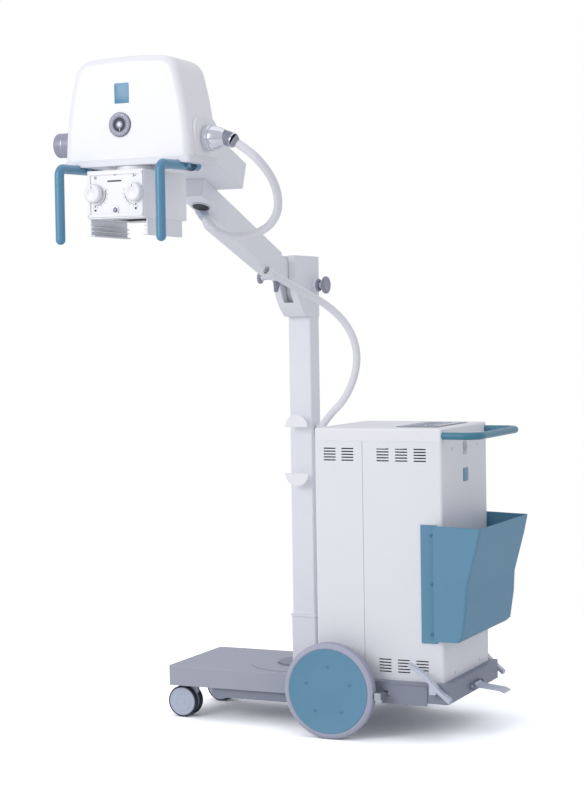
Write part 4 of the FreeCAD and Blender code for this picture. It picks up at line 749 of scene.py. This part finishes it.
def arm_way(along, above):
    """A direction given along and above the arm."""
    return on_arm(0, along, above) - on_arm(0, 0, 0)


nose_rise = 5
nose_run = 130
cap_slope = atan2(nose_rise, nose_run)
cap_out = arm_way(sin(cap_slope), -cos(cap_slope))
cap_foot = on_arm(-215, 799, -40)
bm = bmesh.new()
turn_on_lathe(bm, ((29, 0), (29, 2.4), (28.2, 3.4), (26.4, 3.6), (26, 2.8)), cap_foot, cap_out, steps=64)
cap_ring = add_piece("cap_ring", bm, "arm", looks["light_alloy"])
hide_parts("arm_fittings")
bm = bmesh.new()
turn_on_lathe(bm, ((26.4, 0.4), (26.2, 3.0), (24, 3.6), (10, 3.8), (0, 3.8)), cap_foot, cap_out, steps=64)
add_piece("cap_plug", bm, "arm", looks["dark_plastic"])


def make_gland(bm, tip, before, length, radius):
    """A ribbed gland that grips a hose, from its tip back into the arm."""
    back = (Vector(tip) - Vector(before)).normalized()
    turn_on_lathe(bm, ((12.6, -1), (radius - 2, 0), (radius - 1, 3), (radius, 6, knurl(12, 0.05)),
                       (radius, 18, knurl(12, 0.05)), (radius - 1, 20), (radius - 1.5, 26),
                       (radius, 28, hexagon), (radius, length, hexagon)), tip, back, steps=72)


bm = bmesh.new()
make_gland(bm, (-218, -732, 1709), (-191, -735, 1677), 34, 15.5)
add_piece("hose_glands", bm, "arm", looks["caster_plastic"])
bm = bmesh.new()
make_gland(bm, (-172, -340, 1541), (-146, -282, 1512), 30, 15.5)
add_piece("side_outlet", bm, "arm", looks["white_alloy"])

bm = bmesh.new()
buffer_foot = on_arm(-219, 196, -62)
ribs = [(12, 0)]
for k in range(5):
    wide = 12.4 - k
    top = 6.8 * k
    ribs += [(wide, top + 1.0), (wide, top + 3.4), (wide - 3, top + 4.6), (wide - 3, top + 6.2)]
turn_on_lathe(bm, ribs + [(6.5, 33.6), (0, 34)], buffer_foot, arm_way(0, -1), steps=48)
add_piece("arm_buffer", bm, "arm", buffer_rubber)
print("arm fittings made")

# %% [markdown]
# ## The front of the collimator
# The collimator shapes the x-ray field. On its front are two knobs that move the shutters, each
# with a printed arc that gets wider as the field opens, a slot for a filter, four small screws and
# the button of the lamp. The knobs are white and ribbed. The prints are thin raised shapes, so they
# stay sharp when the model is looked at closely. The filter slot is such a dark shape too: painted
# shade for its opening.

# %% Collimator knobs
collimator_face = -1298.0
knob_height = 1755.0


def make_field_knob(x, body, node, name):
    bm = bmesh.new()
    ribs = knurl(18, 0.05)
    turn_on_lathe(bm, ((4, 0.5), (25, 0.6), (27, 2, ribs), (27, 14, ribs), (25.5, 17.5, ribs), (22, 19.4),
                       (14, 19.6), (12.5, 18.8), (0, 18.6)), (x, collimator_face, knob_height),
                  towards_viewer, steps=144)
    knob = add_piece(name, bm, body, looks["white_shell"])
    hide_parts(node)
    bm = bmesh.new()
    cut_sheet(bm, ((-0.9, 14), (0.9, 14), (0.9, 21), (-0.9, 21)),
              (x, collimator_face - 19.3, knob_height), 0.4, (1, 0, 0), (0, 0, 1))
    add_piece(name + "_pointer", bm, body, ink_and_painted_shade)


make_field_knob(-281, "width_dial", "knob_width", "field_width_knob")
make_field_knob(-149, "length_dial", "knob_length", "field_length_knob")

# %% Collimator prints, slot shade and screws


def print_arc(bm, centre, inner, start, end, thin, wide):
    """A printed arc whose width grows from thin to wide."""
    steps = 26
    outline = []
    for k in range(steps + 1):
        angle = start + (end - start) * k / steps
        outline.append(((inner + thin + (wide - thin) * k / steps) * cos(angle),
                        (inner + thin + (wide - thin) * k / steps) * sin(angle)))
    for k in range(steps, -1, -1):
        angle = start + (end - start) * k / steps
        outline.append((inner * cos(angle), inner * sin(angle)))
    cut_sheet(bm, outline, centre, 0.3, (1, 0, 0), (0, 0, 1))


print_face = -1295.2
bm = bmesh.new()
for knob_x, turning in ((-281, -1), (-149, 1)):
    start = radians(-90 + turning * 8)
    end = radians(-90 - turning * 105)
    centre = (knob_x, print_face, knob_height)
    print_arc(bm, centre, 34.5, start, end, 0.5, 2.2)
    for k in range(7):
        angle = start + (end - start) * k / 6
        spoke = Vector((cos(angle), 0, sin(angle)))
        across = Vector((sin(angle), 0, -cos(angle)))
        cut_sheet(bm, ((-0.45, 0), (0.45, 0), (0.45, 4), (-0.45, 4)),
                  Vector(centre) + spoke * 38.5, 0.3, across, spoke)
for mark_x, mark_z, mark_width, mark_height in (
        (-281, 1800, 2, 9), (-277, 1800, 2, 9), (-215, 1806, 8, 2), (-155, 1802, 2, 9), (-149, 1802, 6, 2),
        (-281, 1707, 7, 5), (-149, 1709, 6, 6), (-281, 1718, 2, 6), (-149, 1720, 2, 6)):
    cut_sheet(bm, rounded_outline(mark_width, mark_height, 0.8), (mark_x, print_face, mark_z), 0.3,
              (1, 0, 0), (0, 0, 1))
# The filter slot is a thin dark sheet: painted shade for its opening.
cut_sheet(bm, rounded_outline(46, 4.2, 1.8), (-217, print_face, 1789), 0.5, (1, 0, 0), (0, 0, 1))
add_piece("collimator_prints_and_slot_shade", bm, "collimator", ink_and_painted_shade)

bm = bmesh.new()
for screw_x in (-303, -127):
    for screw_z in (1692, 1811):
        socket_screw(bm, (screw_x, -1298, screw_z), towards_viewer, 2.6, 1.2)
add_piece("collimator_screws", bm, "collimator", looks["light_alloy"])

bm = bmesh.new()
turn_on_lathe(bm, ((12, 0), (12, 1.2), (10.8, 2), (8.4, 2), (7.4, 1.2), (7.4, 0)), (-215, -1295, 1706),
              towards_viewer, steps=48)
add_piece("button_ring", bm, "collimator", looks["light_alloy"])
print("collimator front made")

# %% [markdown]
# ## The rails under the collimator
# Filters, cones and dose meters slide into the rails. Each rail is a profile with three grooves,
# cut from one outline and run from front to back.

# %% Rails
rail_length = 208.0
bm = bmesh.new()
for rail_side in (-1, 1):
    outline = [(0, 49), (0, 0), (14, 0), (14, 4)]
    for lip in (14, 26):
        outline += [(4, 4 if lip == 14 else lip - 9), (4, lip), (11, lip), (11, lip + 3)]
    outline += [(4, 29), (4, 49)]
    if rail_side > 0:
        cut_sheet(bm, [(a, b) for a, b in outline], (-121, -1278, 1634), rail_length, (-1, 0, 0), (0, 0, 1))
    else:
        cut_sheet(bm, list(reversed(outline)), (-309, -1278, 1634), -rail_length, (1, 0, 0), (0, 0, 1))
rails = add_piece("grooved_rails", bm, "collimator", looks["white_alloy"])
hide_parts("accessory_rails")
print("rails made")

# %% [markdown]
# ## Grips
# The teal tubes stay as they are in the frame. Dark ribbed pads sit between each tube and the plate
# of the head near the rear ends, and keep the paint from rubbing.

# %% Grip pads
grip_spacing = 164
pad_pitch = 9
bm = bmesh.new()
for grip_side in (-1, 1):
    for k in range(6):
        pad_place = (-215 + grip_side * grip_spacing, -1135 - pad_pitch * k, 1835)
        turn_on_lathe(bm, ((14.1, 0), (15.4, 0.6), (15.4, 3.6), (14.1, 4.2), (14.1, 0)),
                      pad_place, towards_viewer, steps=40)
add_piece("grip_pads", bm, "head", looks["dark_plastic"])
print("grip pads made")

# %% [markdown]
# ## The grey end of the tube housing
# The end of the housing that looks out of the cover is a smooth grey cap with a soft rim, a shallow
# dish in its face and one thin joint line around it.

# %% Housing end
housing_end = (-494, -1140, 1915)
bm = bmesh.new()
turn_on_lathe(bm, ((0, 1.6), (25, 1.6), (27, 0.3), (31, 0.2), (34.4, 1.4), (36.1, 4.4), (36.4, 8), (36.4, 26),
                   (35.9, 26.5), (35.9, 27.7), (36.4, 28.2), (36.4, 64)), housing_end, (1, 0, 0), steps=72)
add_piece("housing_cap", bm, "head", looks["grey_plastic"])
print("housing end made")

# %% [markdown]
# ## Screws and lock of the cabinet
# The pocket is held by six screws with round heads, and the rear cover by two small screws. A key
# lock with its plate sits high on the back, under the push handle.

# %% Cabinet details
bm = bmesh.new()
for side in (-1, 1):
    for screw_z in (678, 517, 353):
        socket_screw(bm, (332, side * 232.6, screw_z), (0, side, 0), 6, 3.2)
pocket_screws = add_piece("pocket_screws", bm, "base", looks["teal_shell"])
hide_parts("holder_screws")

bm = bmesh.new()
for side_y in (-126, 128):
    socket_screw(bm, (370.8, side_y, 212), (1, 0, 0), 4.5, 2.2)
    socket_screw(bm, (370.8, side_y, 955), (1, 0, 0), 4.5, 2.2)
add_piece("cover_screws", bm, "base", looks["bright_metal"])

bm = bmesh.new()
cut_sheet(bm, rounded_outline(36, 44, 4), (370.9, 0, 951), 1.6, (0, 1, 0), (0, 0, 1), bevel=0.5)
turn_on_lathe(bm, ((13, 1.5), (13, 4), (12, 5), (9.5, 5.2), (9, 4.4), (0, 4.4)),
              (370.9, 0, 953), (1, 0, 0), steps=48)
add_piece("lock_plate", bm, "base", looks["light_alloy"])
# The key slot is a thin dark sheet on the plate: painted shade for the hole.
bm = bmesh.new()
cut_sheet(bm, rounded_outline(2.2, 9, 1), (375.2, 0, 953), 0.4, (0, 1, 0), (0, 0, 1))
add_piece("key_slot_shade", bm, "base", ink_and_painted_shade)
print("cabinet details made")

# %% [markdown]
# ## Keys on the lid
# The operator sets the exposure on a sealed panel next to the handle: a dark display and rows of
# raised keys under one film. The keys are domed outlines with nothing printed on them.

# %% Key panel
bm = bmesh.new()
for row in range(3):
    for column in range(6):
        x = 216 + 26 * row + (8 if row > 1 else 0)
        y = -110 + 44 * column
        cut_sheet(bm, rounded_outline(16, 26, 4), (x, y, 1027.9), 1.3, (1, 0, 0), (0, 1, 0), bevel=0.6)
add_piece("panel_keys", bm, "base", looks["caster_plastic"])
bm = bmesh.new()
cut_sheet(bm, rounded_outline(34, 210, 4), (306, 0, 1027.9), 0.9, (1, 0, 0), (0, 1, 0), bevel=0.3)
add_piece("panel_display", bm, "base", glass_dark)
print("key panel made")

# %% [markdown]
# ## Floor and light
# The picture was taken in front of white paper under a large soft light left of the camera, so the
# sides that face us are bright and those that face right are grey. A weak light overhead brightens
# the lid and the platform, and a pale sky does the rest. The paper is overexposed in the picture: it
# looks white, yet it throws no extra light up at the machine. The Light Path node tells rays of the
# camera from all others, and lets the floor and the background look brighter to the camera than
# they are for the machine. Far from the machine the floor fades to plain white, so no horizon shows.

# %% Floor and light
floor_size = 30.0
paper_pale = 0.86
overexposed = 0.9
fade_start = 1.1
fade_end = 2.6


def camera_ray(tree):
    """The socket that is 1 for rays that come straight from the camera."""
    return tree.nodes.new("ShaderNodeLightPath").outputs["Is Camera Ray"]


bm = bmesh.new()
corners = [bm.verts.new((a * floor_size, b * floor_size, 0)) for a, b in ((-1, -1), (1, -1), (1, 1), (-1, 1))]
bm.faces.new(corners)
floor_mesh = bpy.data.meshes.new("floor")
bm.to_mesh(floor_mesh)
bm.free()
floor_paper = bpy.data.materials.new("floor_paper")
floor_paper.use_nodes = True
floor_tree = floor_paper.node_tree
paper = floor_tree.nodes["Principled BSDF"]
paper.inputs["Roughness"].default_value = 0.9
paper.inputs["Specular IOR Level"].default_value = 0.0
extra = calculate(floor_tree, "MULTIPLY", camera_ray(floor_tree), overexposed)
floor_tree.links.new(calculate(floor_tree, "ADD", extra, paper_pale), paper.inputs["Base Color"])
white = add_node(floor_tree, "ShaderNodeEmission")
away = add_node(floor_tree, "ShaderNodeVectorMath", operation="LENGTH")
floor_tree.links.new(floor_tree.nodes.new("ShaderNodeNewGeometry").outputs["Position"], away.inputs[0])
fade = add_node(floor_tree, "ShaderNodeMapRange", interpolation_type="SMOOTHSTEP",
                from_min=fade_start, from_max=fade_end)
floor_tree.links.new(away.outputs["Value"], fade.inputs["Value"])
spread = floor_tree.nodes.new("ShaderNodeMixShader")
far_seen = calculate(floor_tree, "MULTIPLY", fade.outputs["Result"], camera_ray(floor_tree))
floor_tree.links.new(far_seen, spread.inputs["Fac"])
floor_tree.links.new(paper.outputs[0], spread.inputs[1])
floor_tree.links.new(white.outputs[0], spread.inputs[2])
floor_tree.links.new(spread.outputs[0], floor_tree.nodes["Material Output"].inputs["Surface"])
floor_mesh.materials.append(floor_paper)
floor = bpy.data.objects.new("floor", floor_mesh)
bpy.context.scene.collection.objects.link(floor)


def soft_light(name, place, target, size, power):
    """A square lamp that faces a target."""
    lamp = bpy.data.lights.new(name, "AREA")
    lamp.size = size
    lamp.energy = power
    obj = bpy.data.objects.new(name, lamp)
    bpy.context.scene.collection.objects.link(obj)
    obj.location = place
    obj.rotation_euler = (Vector(target) - Vector(place)).to_track_quat("-Z", "Y").to_euler()
    return obj


soft_light("key_light", (-2.6, -6.2, 3.4), (-0.2, -0.3, 1.0), 3.2, 124)
soft_light("top_light", (0, 0, 5), (0, 0, 1.0), 4.0, 20)

world = bpy.data.worlds.new("studio")
bpy.context.scene.world = world
world.use_nodes = True
sky_tree = world.node_tree
room = sky_tree.nodes["Background"]
room.inputs["Color"].default_value = (0.93, 0.94, 1.0, 1)
room.inputs["Strength"].default_value = 0.7
paper_white = add_node(sky_tree, "ShaderNodeBackground")
paper_white.inputs["Color"].default_value = (1, 1, 1, 1)
paper_white.inputs["Strength"].default_value = 1.0
choose = sky_tree.nodes.new("ShaderNodeMixShader")
sky_tree.links.new(camera_ray(sky_tree), choose.inputs["Fac"])
sky_tree.links.new(room.outputs[0], choose.inputs[1])
sky_tree.links.new(paper_white.outputs[0], choose.inputs[2])
sky_tree.links.new(choose.outputs[0], sky_tree.nodes["World Output"].inputs["Surface"])
bpy.context.scene.view_settings.view_transform = "Standard"
print("floor and light ready")
